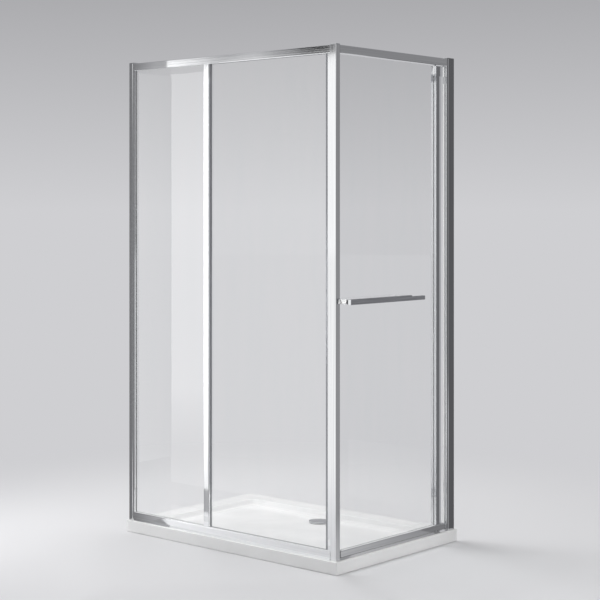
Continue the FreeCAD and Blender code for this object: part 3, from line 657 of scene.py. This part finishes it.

# %% [markdown]
# ## The handle bar
# The bar is a flat extrusion with softened edges whose far end steps down to a slimmer tail. Its long faces
# are linished and carry painted shade in a darker copy of the chrome, its ends are polished, so the near end
# flashes white where the front stays dark. It is one rounded section carried along the bar, with the ends
# rolled over.

# %% The handle bar
BAR_EDGE = 2 * MM
BAR_END_ROLL = 1.2 * MM
TAIL_LENGTH = 89 * MM
TAIL_HEIGHT = 17 * MM
# material indices: the long faces take the darker linished copy, painted shade; the ends the polished chrome
LINISHED_SHADED = 0
POLISHED = 1
END_FACE_SHARE = 0.8      # a face that looks along the bar this much belongs to an end

bar_low, bar_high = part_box("handle_bar")
tail_top = bar_low.z + TAIL_HEIGHT


def bar_ring(y, top, inset):
    """One rounded section of the bar at a place along it, drawn in by inset on every side."""
    low = (bar_low.x + inset, bar_low.z + inset)
    high = (bar_high.x - inset, top - inset)
    return [(across, along, up) for across, up, along in rounded_ring(low, high, BAR_EDGE - inset, y)]


def rolled_end(end, direction, top):
    """Rings that roll the bar's end over, from the flat end face towards the middle of the bar."""
    angles = [math.pi / 2 * k / ARC_STEPS for k in range(ARC_STEPS + 1)]
    return [bar_ring(end + direction * BAR_END_ROLL * (1 - math.cos(a)), top,
                     BAR_END_ROLL * (1 - math.sin(a))) for a in angles]


step_y = bar_high.y - TAIL_LENGTH
bar_rings = rolled_end(bar_low.y, 1, bar_high.z)
bar_rings += [bar_ring(step_y - FINE_EDGE, bar_high.z, 0), bar_ring(step_y, tail_top, 0)]
bar_rings += rolled_end(bar_high.y, -1, tail_top)[::-1]
bar_mesh = bmesh.new()
skin(bar_mesh, bar_rings, capped=True)
bar_mesh.normal_update()
for face in bar_mesh.faces:
    face.material_index = POLISHED if abs(face.normal.y) > END_FACE_SHARE else LINISHED_SHADED
bar = finish_mesh("linished_handle_bar", bar_mesh, linished_shaded_chrome, chrome)
even_shading(bar)
stand_in(bar, "handle_bar")
print("handle bar", shown(bar_high - bar_low), "rings", len(bar_rings))

# %% [markdown]
# ## Screws, covers and knobs by Geometry Nodes
# The same few turned parts repeat all over the enclosure: pan head screws, snap covers and the knobs behind
# the handle. Each kind is turned once, and a node tree stands it on every place that the CAD model gives,
# aims it, twists it a little so that no two recesses line up, and cuts the cross recess in its head.

# %% Places of the fasteners, read from the CAD nodes
LENGTH_DIGITS = 5         # lengths that agree to a hundredth of a millimetre count as one


def box_of(points):
    """The lowest and the highest corner of some points."""
    return [Vector([pick(p[i] for p in points) for i in range(3)]) for pick in (min, max)]


def box_order(points):
    """A key that puts solids in the same order on every run, by the middles of their boxes."""
    return [round(value, LENGTH_DIGITS) for value in sum(box_of(points), Vector())]


def solids_of(name):
    """The points of each separate solid in a CAD node, in a fixed order."""
    mesh = bmesh.new()
    mesh.from_mesh(nodes[name].data)
    bmesh.ops.remove_doubles(mesh, verts=mesh.verts, dist=WELD_GAP)
    unseen = set(mesh.verts)
    solids = []
    while unseen:
        front = [unseen.pop()]
        points = []
        while front:
            vert = front.pop()
            points.append(vert.co.copy())
            beside = {edge.other_vert(vert) for edge in vert.link_edges} & unseen
            unseen -= beside
            front += beside
        solids.append(points)
    mesh.free()
    return sorted(solids, key=box_order)


def places_of(name, towards_middle):
    """For each solid of a node: where its head is, which way the head looks, and how long the solid is."""
    places = []
    for points in solids_of(name):
        low, high = box_of(points)
        size = high - low
        small, middle, large = sorted(range(3), key=lambda i: size[i])
        axis = small if size[middle] - size[small] > size[large] - size[middle] else large
        centre = (low + high) / 2
        inward = -1 if centre[axis] > 0 else 1
        aim = Vector()
        aim[axis] = inward if towards_middle else -inward
        places.append((centre + aim * size[axis] / 2, aim, round(size[axis], LENGTH_DIGITS)))
    return places


print("corner screw lengths", sorted({length for spot, aim, length in places_of("corner_screws", False)}))

# %% The tree that stands fasteners
RANDOM_FROM = 2           # the random node has one pair of inputs for each data type; these are the float's
RANDOM_TO = 3
RANDOM_FLOAT = 1


def fastener_tree():
    """Stands one turned part on every point, aimed by the point's own vector, with or without a recess."""
    tree = bpy.data.node_groups.new("stand_fasteners", "GeometryNodeTree")
    sockets = {"Geometry": "NodeSocketGeometry", "Part": "NodeSocketObject", "Finish": "NodeSocketMaterial",
               "Cut Recess": "NodeSocketBool", "Recess Length": "NodeSocketFloat",
               "Recess Width": "NodeSocketFloat", "Recess Depth": "NodeSocketFloat", "Seed": "NodeSocketInt"}
    for name, kind in sockets.items():
        tree.interface.new_socket(name, in_out="INPUT", socket_type=kind)
    tree.interface.new_socket("Geometry", in_out="OUTPUT", socket_type="NodeSocketGeometry")
    given = add_node(tree, "NodeGroupInput").outputs
    part = add_node(tree, "GeometryNodeObjectInfo", None, {"Object": given["Part"]}).outputs["Geometry"]
    slot_size = add_node(tree, "ShaderNodeCombineXYZ", None,
                         {"X": given["Recess Length"], "Y": given["Recess Width"],
                          "Z": given["Recess Depth"]})
    slot = add_node(tree, "GeometryNodeMeshCube", None, {"Size": slot_size.outputs[0]})
    across = add_node(tree, "GeometryNodeTransform", {"Rotation": (0, 0, math.pi / 2)},
                      {"Geometry": slot.outputs["Mesh"]})
    cross = add_node(tree, "GeometryNodeJoinGeometry", None, {0: slot.outputs["Mesh"]})
    tree.links.new(across.outputs[0], cross.inputs[0])
    cut = add_node(tree, "GeometryNodeMeshBoolean", None, {"Mesh 1": part, "Mesh 2": cross.outputs[0]},
                   operation="DIFFERENCE", solver="FLOAT")
    chosen = add_node(tree, "GeometryNodeSwitch", None,
                      {"Switch": given["Cut Recess"], "False": part, "True": cut.outputs["Mesh"]},
                      input_type="GEOMETRY")
    aim = add_node(tree, "GeometryNodeInputNamedAttribute", {"Name": "aim"}, data_type="FLOAT_VECTOR")
    upright = add_node(tree, "FunctionNodeAlignRotationToVector", None,
                       {"Vector": aim.outputs["Attribute"]}, axis="Z")
    chance = add_node(tree, "FunctionNodeRandomValue", {RANDOM_FROM: 0.0, RANDOM_TO: math.pi / 2},
                      {"Seed": given["Seed"]}, data_type="FLOAT")
    twist = add_node(tree, "FunctionNodeAxisAngleToRotation", {"Axis": (0, 0, 1)},
                     {"Angle": chance.outputs[RANDOM_FLOAT]})
    turned = add_node(tree, "FunctionNodeRotateRotation", None,
                      {"Rotation": upright.outputs[0], "Rotate By": twist.outputs[0]},
                      rotation_space="LOCAL")
    stand = add_node(tree, "GeometryNodeInstanceOnPoints", None,
                     {"Points": given["Geometry"], "Instance": chosen.outputs["Output"],
                      "Rotation": turned.outputs[0]})
    real = add_node(tree, "GeometryNodeRealizeInstances", None, {"Geometry": stand.outputs[0]})
    paint = add_node(tree, "GeometryNodeSetMaterial", None,
                     {"Geometry": real.outputs[0], "Material": given["Finish"]})
    add_node(tree, "NodeGroupOutput", None, {"Geometry": paint.outputs[0]})
    return tree


stand_fasteners = fastener_tree()
print("tree", stand_fasteners.name, "nodes", len(stand_fasteners.nodes))

# %% Stand one kind of part
TWIST_SEED = 7


def stand_parts(name, places, section, recess=None):
    """Turns one part and stands it on all the places, as one plain mesh."""
    part_mesh = bmesh.new()
    skin(part_mesh, turned_rings(section))
    part = finish_mesh(name + "_part", part_mesh, finish_of[name])
    dots = bpy.data.meshes.new(name + "_places")
    dots.from_pydata([spot for spot, aim, length in places], [], [])
    aims = dots.attributes.new("aim", "FLOAT_VECTOR", "POINT")
    for item, (spot, aim, length) in zip(aims.data, places):
        item.vector = aim
    holder = link_object(name + "_holder", dots)
    stack = holder.modifiers.new("stand", "NODES")
    stack.node_group = stand_fasteners
    keys = {item.name: item.identifier for item in stand_fasteners.interface.items_tree
            if item.in_out == "INPUT"}
    inputs = {"Part": part, "Finish": finish_of[name], "Seed": TWIST_SEED, "Cut Recess": recess is not None}
    for key, value in {**inputs, **(recess or {})}.items():
        stack[keys[key]] = value
    bpy.context.view_layer.update()
    seen = holder.evaluated_get(bpy.context.evaluated_depsgraph_get())
    plain = bpy.data.meshes.new_from_object(seen)
    bpy.data.objects.remove(holder)
    bpy.data.objects.remove(part)
    return plain


def join_meshes(name, node_name, meshes):
    """One piece from several plain meshes of the same finish, in the place of a CAD node."""
    joined = bmesh.new()
    for mesh in meshes:
        joined.from_mesh(mesh)
    data = bpy.data.meshes.new(name)
    joined.to_mesh(data)
    joined.free()
    data.materials.append(meshes[0].materials[0])
    piece = link_object(name, data)
    stand_in(piece, node_name)
    print(name, len(data.polygons), "faces")


print("twist seed", TWIST_SEED)

# %% Screws
RECESS_WIDTH = 1.0 * MM
RECESS_LENGTH_SHARE = 1.2
RECESS_DEPTH_SHARE = 1.2
HEAD_ROLL_SHARE = 0.5
SHANK_TIP = 0.8 * MM
SCREW_SIZES = {           # head radius, head height and shank radius, and whether the head looks inwards
    "corner_screws": (4.0 * MM, 2.0 * MM, 2.0 * MM, False),
    "jamb_screws": (4.0 * MM, 2.0 * MM, 2.0 * MM, True),
    "stile_screws": (4.5 * MM, 2.5 * MM, 2.5 * MM, True),
    "handle_screws": (4.95 * MM, 3.0 * MM, 3.0 * MM, True),
}


def screw_section(head_radius, head_height, shank_radius, length):
    """A pan head screw below its top: a rounded head and a shank with a blunt tip."""
    points = [(0, 0), (head_radius, 0), (head_radius, -head_height), (shank_radius, -head_height),
              (shank_radius, -length), (0, -length)]
    return rounded_path(points, [HEAD_ROLL_SHARE * head_height, FINE_EDGE / 2, FINE_EDGE, SHANK_TIP])


def recess_for(head_radius, head_height):
    """The cross recess that suits a head; its bars are cut half above and half below the head's top."""
    return {"Recess Length": RECESS_LENGTH_SHARE * head_radius, "Recess Width": RECESS_WIDTH,
            "Recess Depth": RECESS_DEPTH_SHARE * head_height}


for name, (head_radius, head_height, shank_radius, inwards) in SCREW_SIZES.items():
    places = places_of(name, inwards)
    made = []
    for size in sorted({length for spot, aim, length in places}):
        alike = [place for place in places if place[-1] == size]
        section = screw_section(head_radius, head_height, shank_radius, size)
        made.append(stand_parts(name, alike, section, recess_for(head_radius, head_height)))
    join_meshes("recessed_" + name, name, made)

# %% Snap covers and knobs
def cover_section(radius, height, roll, bore, bore_depth):
    """A snap cover over a screw head: a rounded cup, open at the back."""
    points = [(0, 0), (radius, 0), (radius, -height), (bore, -height), (bore, bore_depth - height),
              (0, bore_depth - height)]
    return rounded_path(points, [roll, FINE_EDGE, FINE_EDGE / 2, FINE_EDGE])


def knob_section(radius, depth, roll, recess_radius, recess_depth, bore):
    """A domed knob bored for a screw, with a recess that takes the screw's head."""
    middle = (bore, -(recess_depth + depth) / 2)
    points = [middle, (bore, -recess_depth), (recess_radius, -recess_depth), (recess_radius, 0), (radius, 0),
              (radius, -depth), (bore, -depth), middle]
    return rounded_path(points, [FINE_EDGE / 2, FINE_EDGE, 2 * FINE_EDGE, roll, FINE_EDGE, FINE_EDGE / 2])


snap_cover = cover_section(radius=6.0 * MM, height=4.0 * MM, roll=1.2 * MM, bore=4.3 * MM,
                           bore_depth=2.3 * MM)
domed_knob = knob_section(radius=9.0 * MM, depth=8.0 * MM, roll=2.5 * MM, recess_radius=5.0 * MM,
                          recess_depth=3.0 * MM, bore=3.05 * MM)
ROUND_PARTS = {"snap_covers": ("jamb_screw_caps", snap_cover), "domed_knobs": ("handle_knobs", domed_knob)}
for piece_name, (name, section) in ROUND_PARTS.items():
    join_meshes(piece_name, name, [stand_parts(name, places_of(name, True), section)])

# %% [markdown]
# ## Rolled edges on metal and glass
# No real profile ends in a knife edge: the die rolls it, and the thin line of light along it is what tells
# the eye that it is metal. The CAD mesh stays as it is; a stack of modifiers welds its triangles, joins the
# flat ones and rolls what is left. Glass gets the same stack with the smaller arris of a ground edge.

# %% Rolled edges
EDGE_RADIUS = {"polished_aluminium": 0.7 * MM, "chrome_plate": 0.8 * MM, "clear_glass": 0.6 * MM,
               "grey_rubber": 0.2 * MM, "black_rubber": 0.2 * MM, "clear_vinyl": 0.2 * MM,
               "white_nylon": 0.4 * MM, "cast_zinc": 0.5 * MM}
EDGE_STEPS = 2
SHARPEST_FLAT = math.radians(0.5)


def roll_edges(node, radius):
    """Welds, flattens and rolls the edges of a CAD node by live modifiers."""
    weld = node.modifiers.new("weld_triangles", "WELD")
    weld.merge_threshold = WELD_GAP
    flat = node.modifiers.new("join_flat_faces", "DECIMATE")
    flat.decimate_type = "DISSOLVE"
    flat.angle_limit = SHARPEST_FLAT
    roll = node.modifiers.new("rolled_edges", "BEVEL")
    roll.width = radius
    roll.segments = EDGE_STEPS
    roll.limit_method = "ANGLE"
    roll.angle_limit = LEAST_EDGE_ANGLE
    roll.harden_normals = slot_of[node.name] != "clear_glass"


rolled = [name for name, node in nodes.items() if slot_of[name] in EDGE_RADIUS and not node.hide_render]
for name in rolled:
    roll_edges(nodes[name], EDGE_RADIUS[slot_of[name]])
print("rolled edges on", len(rolled), "nodes")

# %% [markdown]
# ## Camera
# The picture was taken from standing height with the camera held level: the uprights are parallel and the
# horizon crosses above the middle of the frame. So the camera is level and its sensor is shifted, as a
# photographer shifts a lens, instead of being tilted down. Position, turn and lens were fitted to the edges
# of the tray and the frame.

# %% Camera
CAMERA_AT = (4.2282, -4.7439, 1.4102)
CAMERA_TURN = math.radians(41.294)
LEVEL = math.radians(90)
LENS = 88.19
SENSOR = 36.0
SENSOR_SHIFT = -0.1507

camera_data = bpy.data.cameras.new("camera")
camera_data.sensor_width = SENSOR
camera_data.lens = LENS
camera_data.shift_y = SENSOR_SHIFT
camera = link_object("camera", camera_data)
camera.location = CAMERA_AT
camera.rotation_euler = (LEVEL, 0, CAMERA_TURN)
bpy.context.scene.camera = camera
print("camera at", CAMERA_AT, "lens", LENS)

# %% [markdown]
# ## Floor and background
# The floor is a pale plain sheet that fades into the background with distance, so that no horizon cuts the
# picture from any side. Camera, mirrors and glass all see the same pale background. What metal has mirrored
# once also shows a studio: white where the long screen faces, dim where the door faces.
# Everything else gets a soft white light that is strongest overhead and leans to the right.

# %% Sides of the studio
BRIGHT_SIDE = (-0.30, -0.95, 0.05)
BRIGHT_RANGE = (0.35, 0.75)     # cosines of the angle from that side where its tone begins and is full
DIM_SIDE = (0.66, 0.75, 0.0)
DIM_RANGE = (0.70, 0.92)


def share_of_side(tree, direction, side, cosines):
    """How far a mirrored ray looks at one side of the studio, from 0 to 1; other rays get 0."""
    unit = add_node(tree, "ShaderNodeVectorMath", None, {0: direction}, operation="NORMALIZE")
    along = add_node(tree, "ShaderNodeVectorMath", {1: side}, {0: unit.outputs[0]}, operation="DOT_PRODUCT")
    share = add_node(tree, "ShaderNodeMapRange", {"From Min": cosines[0], "From Max": cosines[1]},
                     {"Value": along.outputs["Value"]}, interpolation_type="SMOOTHSTEP")
    bounces = add_node(tree, "ShaderNodeLightPath").outputs["Glossy Depth"]
    mirrored = add_node(tree, "ShaderNodeMath", {1: 1.0}, {0: bounces}, operation="MINIMUM")
    both = add_node(tree, "ShaderNodeMath", None, {0: share.outputs["Result"], 1: mirrored.outputs[0]},
                    operation="MULTIPLY")
    return both.outputs[0]


print("bright side", BRIGHT_SIDE, "dim side", DIM_SIDE)

# %% Floor
FLOOR_RADIUS = 40.0
FLOOR_SIDES = 96
FADE_FROM = 0.9           # distances from the middle of the tray where the fade begins and is full
FADE_TO = 2.6
FLOOR_DROP = 0.5 * MM
FLOOR_COLOUR = "#D7D7D9"
HORIZON_COLOUR = "#CFCFD2"


def pale_floor():
    """A matt pale sheet near the object that turns into the background colour far away."""
    material, tree = new_material("pale_floor_sheet")
    place = add_node(tree, "ShaderNodeTexCoord").outputs["Object"]
    reach = add_node(tree, "ShaderNodeVectorMath", None, {0: place}, operation="LENGTH")
    fade = add_node(tree, "ShaderNodeMapRange", {"From Min": FADE_FROM, "From Max": FADE_TO},
                    {"Value": reach.outputs["Value"]}, interpolation_type="SMOOTHSTEP")
    sheet = add_node(tree, "ShaderNodeBsdfPrincipled",
                     {"Base Color": linear(FLOOR_COLOUR), "Roughness": 0.45, "Specular IOR Level": 0.35})
    bright = share_of_side(tree, place, BRIGHT_SIDE, BRIGHT_RANGE)
    colour = add_node(tree, "ShaderNodeValToRGB", None, {"Fac": bright}, {0.0: HORIZON_COLOUR, 1.0: WHITE})
    far = add_node(tree, "ShaderNodeEmission", None, {"Color": colour.outputs["Color"]})
    both = add_node(tree, "ShaderNodeMixShader", None,
                    {0: fade.outputs["Result"], 1: sheet.outputs[0], 2: far.outputs[0]})
    add_node(tree, "ShaderNodeOutputMaterial", None, {"Surface": both.outputs[0]})
    return material


floor_mesh = bmesh.new()
bmesh.ops.create_circle(floor_mesh, cap_ends=True, radius=FLOOR_RADIUS, segments=FLOOR_SIDES)
floor_data = bpy.data.meshes.new("floor")
floor_mesh.to_mesh(floor_data)
floor_mesh.free()
floor_data.materials.append(pale_floor())
floor = link_object("floor", floor_data)
floor.location.z = -FLOOR_DROP
print("floor radius", FLOOR_RADIUS, "fades from", FADE_FROM, "to", FADE_TO)

# %% Background and its light
OVERHEAD_COLOUR = "#A6A6A9"
OVERHEAD_AT = 0.16        # the sine of the elevation where the background is darkest
BRIGHT_STRENGTH = 1.1
DIM_COLOUR = "#8F8F92"
LIGHT_BASE = 0.28
LIGHT_LEAN = (0.16, 0.22, 0.60)  # how much the light gains towards the right, the back and the top

world = bpy.data.worlds.new("pale_studio")
bpy.context.scene.world = world
world.use_nodes = True
air = world.node_tree
air.nodes.clear()
direction = add_node(air, "ShaderNodeTexCoord").outputs["Generated"]
height = add_node(air, "ShaderNodeSeparateXYZ", None, {0: direction}).outputs["Z"]
climb = add_node(air, "ShaderNodeMapRange", {"From Min": 0.0, "From Max": OVERHEAD_AT}, {"Value": height})
shade = add_node(air, "ShaderNodeValToRGB", None, {"Fac": climb.outputs["Result"]},
                 {0.0: HORIZON_COLOUR, 1.0: OVERHEAD_COLOUR})
grey = add_node(air, "ShaderNodeBackground", None, {"Color": shade.outputs["Color"]})
bright = add_node(air, "ShaderNodeBackground", {"Color": linear(WHITE), "Strength": BRIGHT_STRENGTH})
dim = add_node(air, "ShaderNodeBackground", {"Color": linear(DIM_COLOUR)})
lit = add_node(air, "ShaderNodeMixShader", None,
               {0: share_of_side(air, direction, BRIGHT_SIDE, BRIGHT_RANGE), 1: grey.outputs[0],
                2: bright.outputs[0]})
seen = add_node(air, "ShaderNodeMixShader", None,
                {0: share_of_side(air, direction, DIM_SIDE, DIM_RANGE), 1: lit.outputs[0],
                 2: dim.outputs[0]})
lean = add_node(air, "ShaderNodeVectorMath", {1: LIGHT_LEAN}, {0: direction}, operation="DOT_PRODUCT")
power = add_node(air, "ShaderNodeMath", {1: LIGHT_BASE}, {0: lean.outputs["Value"]}, operation="ADD",
                 use_clamp=True)
light = add_node(air, "ShaderNodeBackground", {"Color": linear(WHITE)}, {"Strength": power.outputs[0]})
path = add_node(air, "ShaderNodeLightPath")
mirrors = add_node(air, "ShaderNodeMath", None,
                   {0: path.outputs["Is Camera Ray"], 1: path.outputs["Is Glossy Ray"]}, operation="ADD")
shows = add_node(air, "ShaderNodeMath", None,
                 {0: mirrors.outputs[0], 1: path.outputs["Is Transmission Ray"]},
                 operation="ADD", use_clamp=True)
sky = add_node(air, "ShaderNodeMixShader", None,
               {0: shows.outputs[0], 1: light.outputs[0], 2: seen.outputs[0]})
add_node(air, "ShaderNodeOutputWorld", None, {"Surface": sky.outputs[0]})
print("light", LIGHT_BASE, "leaning", LIGHT_LEAN)

# %% [markdown]
# ## Cards for the metal to see: painted reflections
# Polished metal has no look of its own: it shows what stands round it. A product photographer stands white
# and grey cards round the set, out of the picture, until each face has its tone. These cards do the same
# with glowing paint, so what the metal shows of them is painted reflection: the white ones are painted
# highlights, the grey and dark ones painted shade, some are narrow strips placed for a single face, and
# some are painted from one grey to another. Two grey ones on the side of the lens calm the rolled upright
# edges, which look straight back, with painted shade. Only mirror rays meet the cards, so they neither
# light the set nor hide anything from the camera.

# %% Card tools
FLOOR_CARD_Z = 3 * MM
LENS_CARD_Z = 2 * MM      # lower than the other floor cards, so that no two lie in one plane


def card_paint(name, stops, start, end, strength):
    """Glowing paint that runs through its stops from the point start to the point end."""
    material, tree = new_material(name + "_paint")
    run = Vector(end) - Vector(start)
    place = add_node(tree, "ShaderNodeTexCoord")
    offset = add_node(tree, "ShaderNodeVectorMath", {1: start}, {0: place.outputs["Object"]},
                      operation="SUBTRACT")
    share = add_node(tree, "ShaderNodeVectorMath", {1: run / run.length_squared}, {0: offset.outputs[0]},
                     operation="DOT_PRODUCT")
    colour = add_node(tree, "ShaderNodeValToRGB", None, {"Fac": share.outputs["Value"]}, stops)
    glow = add_node(tree, "ShaderNodeEmission", {"Strength": strength}, {"Color": colour.outputs["Color"]})
    add_node(tree, "ShaderNodeOutputMaterial", None, {"Surface": glow.outputs[0]})
    return material


def add_card(name, corners, stops, fade=None, strength=1.0):
    """A flat card that only mirrors see; fade gives the two points between which its colour changes."""
    start, end = fade or (corners[0], corners[2])
    data = bpy.data.meshes.new(name)
    data.from_pydata(corners, [], [range(len(corners))])
    data.materials.append(card_paint(name, stops, start, end, strength))
    card = link_object(name, data)
    card.visible_camera = False
    card.visible_diffuse = False
    card.visible_transmission = False
    card.visible_shadow = False


def wall_card(name, x, y, z, stops, **paint):
    """A card standing parallel to the long screen at y, from x to x and from z to z."""
    add_card(name, [(x[0], y, z[0]), (x[1], y, z[0]), (x[1], y, z[1]), (x[0], y, z[1])], stops, **paint)


def side_card(name, x, y, z, stops, **paint):
    """A card standing parallel to the door at x, from y to y and from z to z."""
    add_card(name, [(x, y[0], z[0]), (x, y[1], z[0]), (x, y[1], z[1]), (x, y[0], z[1])], stops, **paint)


def floor_card(name, outline, stops, z=FLOOR_CARD_Z, **paint):
    """A card lying just above the floor, with its outline seen from above."""
    add_card(name, [(x, y, z) for x, y in outline], stops, **paint)


print("floor cards lie at", FLOOR_CARD_Z, "and", LENS_CARD_Z)

# %% Cards that the long screen mirrors, from its left and its front
CARD_TOP = 3.2
LEFT_X = -0.66            # beside the left wall profile
FRONT_Y = -4.0            # far in front of the long screen
STILE_CARD_Y = -1.275     # where the floor that the mid stile's foot mirrors gives way to white
FLASH = 3.2               # how bright the white is that the mid stile mirrors

# painted shade: grey like a shaded wall, darkest next to the enclosure
side_card("left_wall_card", x=LEFT_X, y=(-0.40, -0.67), z=(0.0, CARD_TOP),
          stops={0.0: "#767678", 1.0: "#AEAEB0"}, fade=((LEFT_X, -0.44, 0), (LEFT_X, -0.60, 0)))
# painted highlight for the narrow pane, white fading to pale grey
side_card("left_pane_card", x=LEFT_X + 5 * MM, y=(-0.47, -0.67), z=(0.28, 2.02),
          stops={0.0: WHITE, 1.0: "#DDDDDF"}, fade=((LEFT_X, -0.47, 0), (LEFT_X, -0.67, 0)), strength=1.2)
# grey floor cards: painted shade that the feet of the left profile and the mid stile mirror
floor_card("left_floor_card", [(-0.80, -0.45), (-0.343, -0.45), (-0.80, -0.716)], stops={0.0: "#A0A0A2"})
stile_foot = [(-1.30, STILE_CARD_Y), (-0.55, STILE_CARD_Y), (-0.55, -0.872), (-1.30, -0.872)]
floor_card("stile_floor_card", stile_foot, stops={0.0: "#B6B6B8"})
# painted highlight: the white flash that the mid stile mirrors, standing and on the floor
wall_card("white_room_card", x=(-4.80, -3.73), y=FRONT_Y, z=(0.0, 2.47), stops={0.0: WHITE}, strength=FLASH)
white_wedge = [(-1.290, STILE_CARD_Y), (-4.156, FRONT_Y), (-3.726, FRONT_Y), (-1.007, STILE_CARD_Y)]
floor_card("white_floor_card", white_wedge, stops={0.0: "#A0A0A0", 1.0: WHITE},
           fade=[(x, y, FLOOR_CARD_Z) for x, y in white_wedge[:2]], strength=FLASH)
# painted reflection along the top rail, from white through grey to near black
wall_card("top_rail_card", x=(-4.60, -2.20), y=FRONT_Y, z=(2.518, 2.80),
          stops={0.0: "#F6F6F7", 0.094: "#DEDEDF", 0.198: "#C8C8CA", 0.283: "#AEAEB0", 0.377: "#A9A9AB",
                 0.518: "#BDBDBF", 0.612: "#9A9A9C", 0.754: "#757577", 0.80: "#404042", 0.945: "#121214",
                 0.985: "#B0B0B2"},
          fade=((-4.125, FRONT_Y, 2.55), (-2.40, FRONT_Y, 2.55)), strength=1.1)
# thin strips of painted highlight along the long bottom rail's lip and top edge
wall_card("lip_card", x=(-0.415, 0.50), y=-0.45, z=(0.085, 0.108), stops={0.0: "#EEEEEF"})
wall_card("rail_top_card", x=(-0.585, 0.54), y=-0.3755, z=(0.0855, 0.0905), stops={0.0: WHITE},
          strength=1.1)

# %% Cards that the door mirrors, from its right and the back, and those on the side of the lens
BACK_Y = 0.46             # behind the door's end of the tray; nearer cards cover parts of the farthest one
LENS_GREY = "#8C8C8E"

# a thin strip of painted highlight along the top of the door's bottom rail
side_card("door_rail_top_card", x=0.5755, y=(-0.34, 0.27), z=(0.0855, 0.0905), stops={0.0: "#F4F4F5"})
# painted shade: grey like a shaded wall behind the door, darker towards the top
wall_card("right_wall_card", x=(0.60, 4.50), y=BACK_Y, z=(0.0, CARD_TOP),
          stops={0.0: "#979799", 1.0: "#8A8A8C"}, fade=((0, BACK_Y, 0.6), (0, BACK_Y, 2.2)))
# painted shade for the door's sill, lighter away from the door
wall_card("sill_card", x=(0.66, 1.19), y=BACK_Y - 5 * MM, z=(0.10, 0.36),
          stops={0.0: "#9E9EA0", 1.0: "#C2C2C4"}, fade=((0.68, BACK_Y, 0), (1.18, BACK_Y, 0)))
# narrow strips of painted shade for the pivot stile: a dark band and beside it a paler one
wall_card("pivot_bar_card", x=(0.694, 0.722), y=BACK_Y - 10 * MM, z=(0.05, 2.03), stops={0.0: "#7B7B7D"})
wall_card("pivot_wing_card", x=(0.670, 0.694), y=BACK_Y - 10 * MM, z=(0.05, 2.03), stops={0.0: "#C6C6C8"})
# painted shade for the rail's end and the right profile
wall_card("rail_end_card", x=(0.600, 0.800), y=BACK_Y - 12 * MM, z=(0.0, 0.05), stops={0.0: "#7E7E80"})
wall_card("right_profile_card", x=(0.600, 0.650), y=BACK_Y - 20 * MM, z=(0.0, CARD_TOP),
          stops={0.0: "#5C5C5E"})
# painted shade of the floor that the door side mirrors, darker towards the back
floor_card("right_floor_card", [(0.66, -0.60), (1.70, -0.60), (1.70, BACK_Y), (0.66, BACK_Y)],
           stops={0.0: "#B5B5B7", 1.0: "#9A9A9C"}, fade=((0, -0.15, 0), (0, 0.42, 0)))
# painted shade on the side of the lens, which calms the rolled upright edges
lens_side = [(1.81, -10.39, 0.0), (10.07, -3.13, 0.0), (10.07, -3.13, 4.5), (1.81, -10.39, 4.5)]
add_card("lens_side_card", lens_side, stops={0.0: LENS_GREY})
floor_card("lens_floor_card", [(0.68, -0.40), (0.08, -1.08), (1.81, -10.39), (10.07, -3.13)],
           stops={0.0: LENS_GREY}, z=LENS_CARD_Z)

# %% [markdown]
# ## Soft light
# One broad soft lamp hangs high up to the left, so the sides of the basin show and its floor stays short of
# pure white. A low one on the left and a low one on the right graze the tray's front and side, so each of
# them falls off towards its far end. A small narrow one in front picks out the white blocks of the handle.

# %% Lamps
MIDDLE = (0.0, 0.0, 0.5)
HANDLE = tuple((bar_low + bar_high) / 2)
WIDE = math.radians(180)
NARROW = math.radians(40)
SOFTBOXES = {             # place, what it is aimed at, spread, width in metres and power in watts
    "overhead_softbox": ((-2.4, 0.1, 8.0), MIDDLE, WIDE, 2.5, 310),
    "left_softbox": ((-1.6, -1.5, 0.8), MIDDLE, WIDE, 0.8, 10.5),
    "right_softbox": ((2.4, -0.6, 1.0), MIDDLE, WIDE, 0.9, 3.8),
    "handle_softbox": ((0.9, -1.3, 1.2), HANDLE, NARROW, 0.2, 0.36),
}


def add_softbox(name, place, aim, spread, width, watts):
    """A square area lamp aimed at a point; mirrors see the cards instead of it."""
    data = bpy.data.lights.new(name, "AREA")
    data.size = width
    data.energy = watts
    data.spread = spread
    lamp = link_object(name, data)
    lamp.location = place
    lamp.rotation_mode = "QUATERNION"
    lamp.rotation_quaternion = (Vector(aim) - Vector(place)).to_track_quat("-Z", "Y")
    lamp.visible_glossy = False
    lamp.visible_transmission = False


for name, numbers in SOFTBOXES.items():
    add_softbox(name, *numbers)
bpy.context.scene.view_settings.view_transform = "Standard"
print("lamps", list(SOFTBOXES))
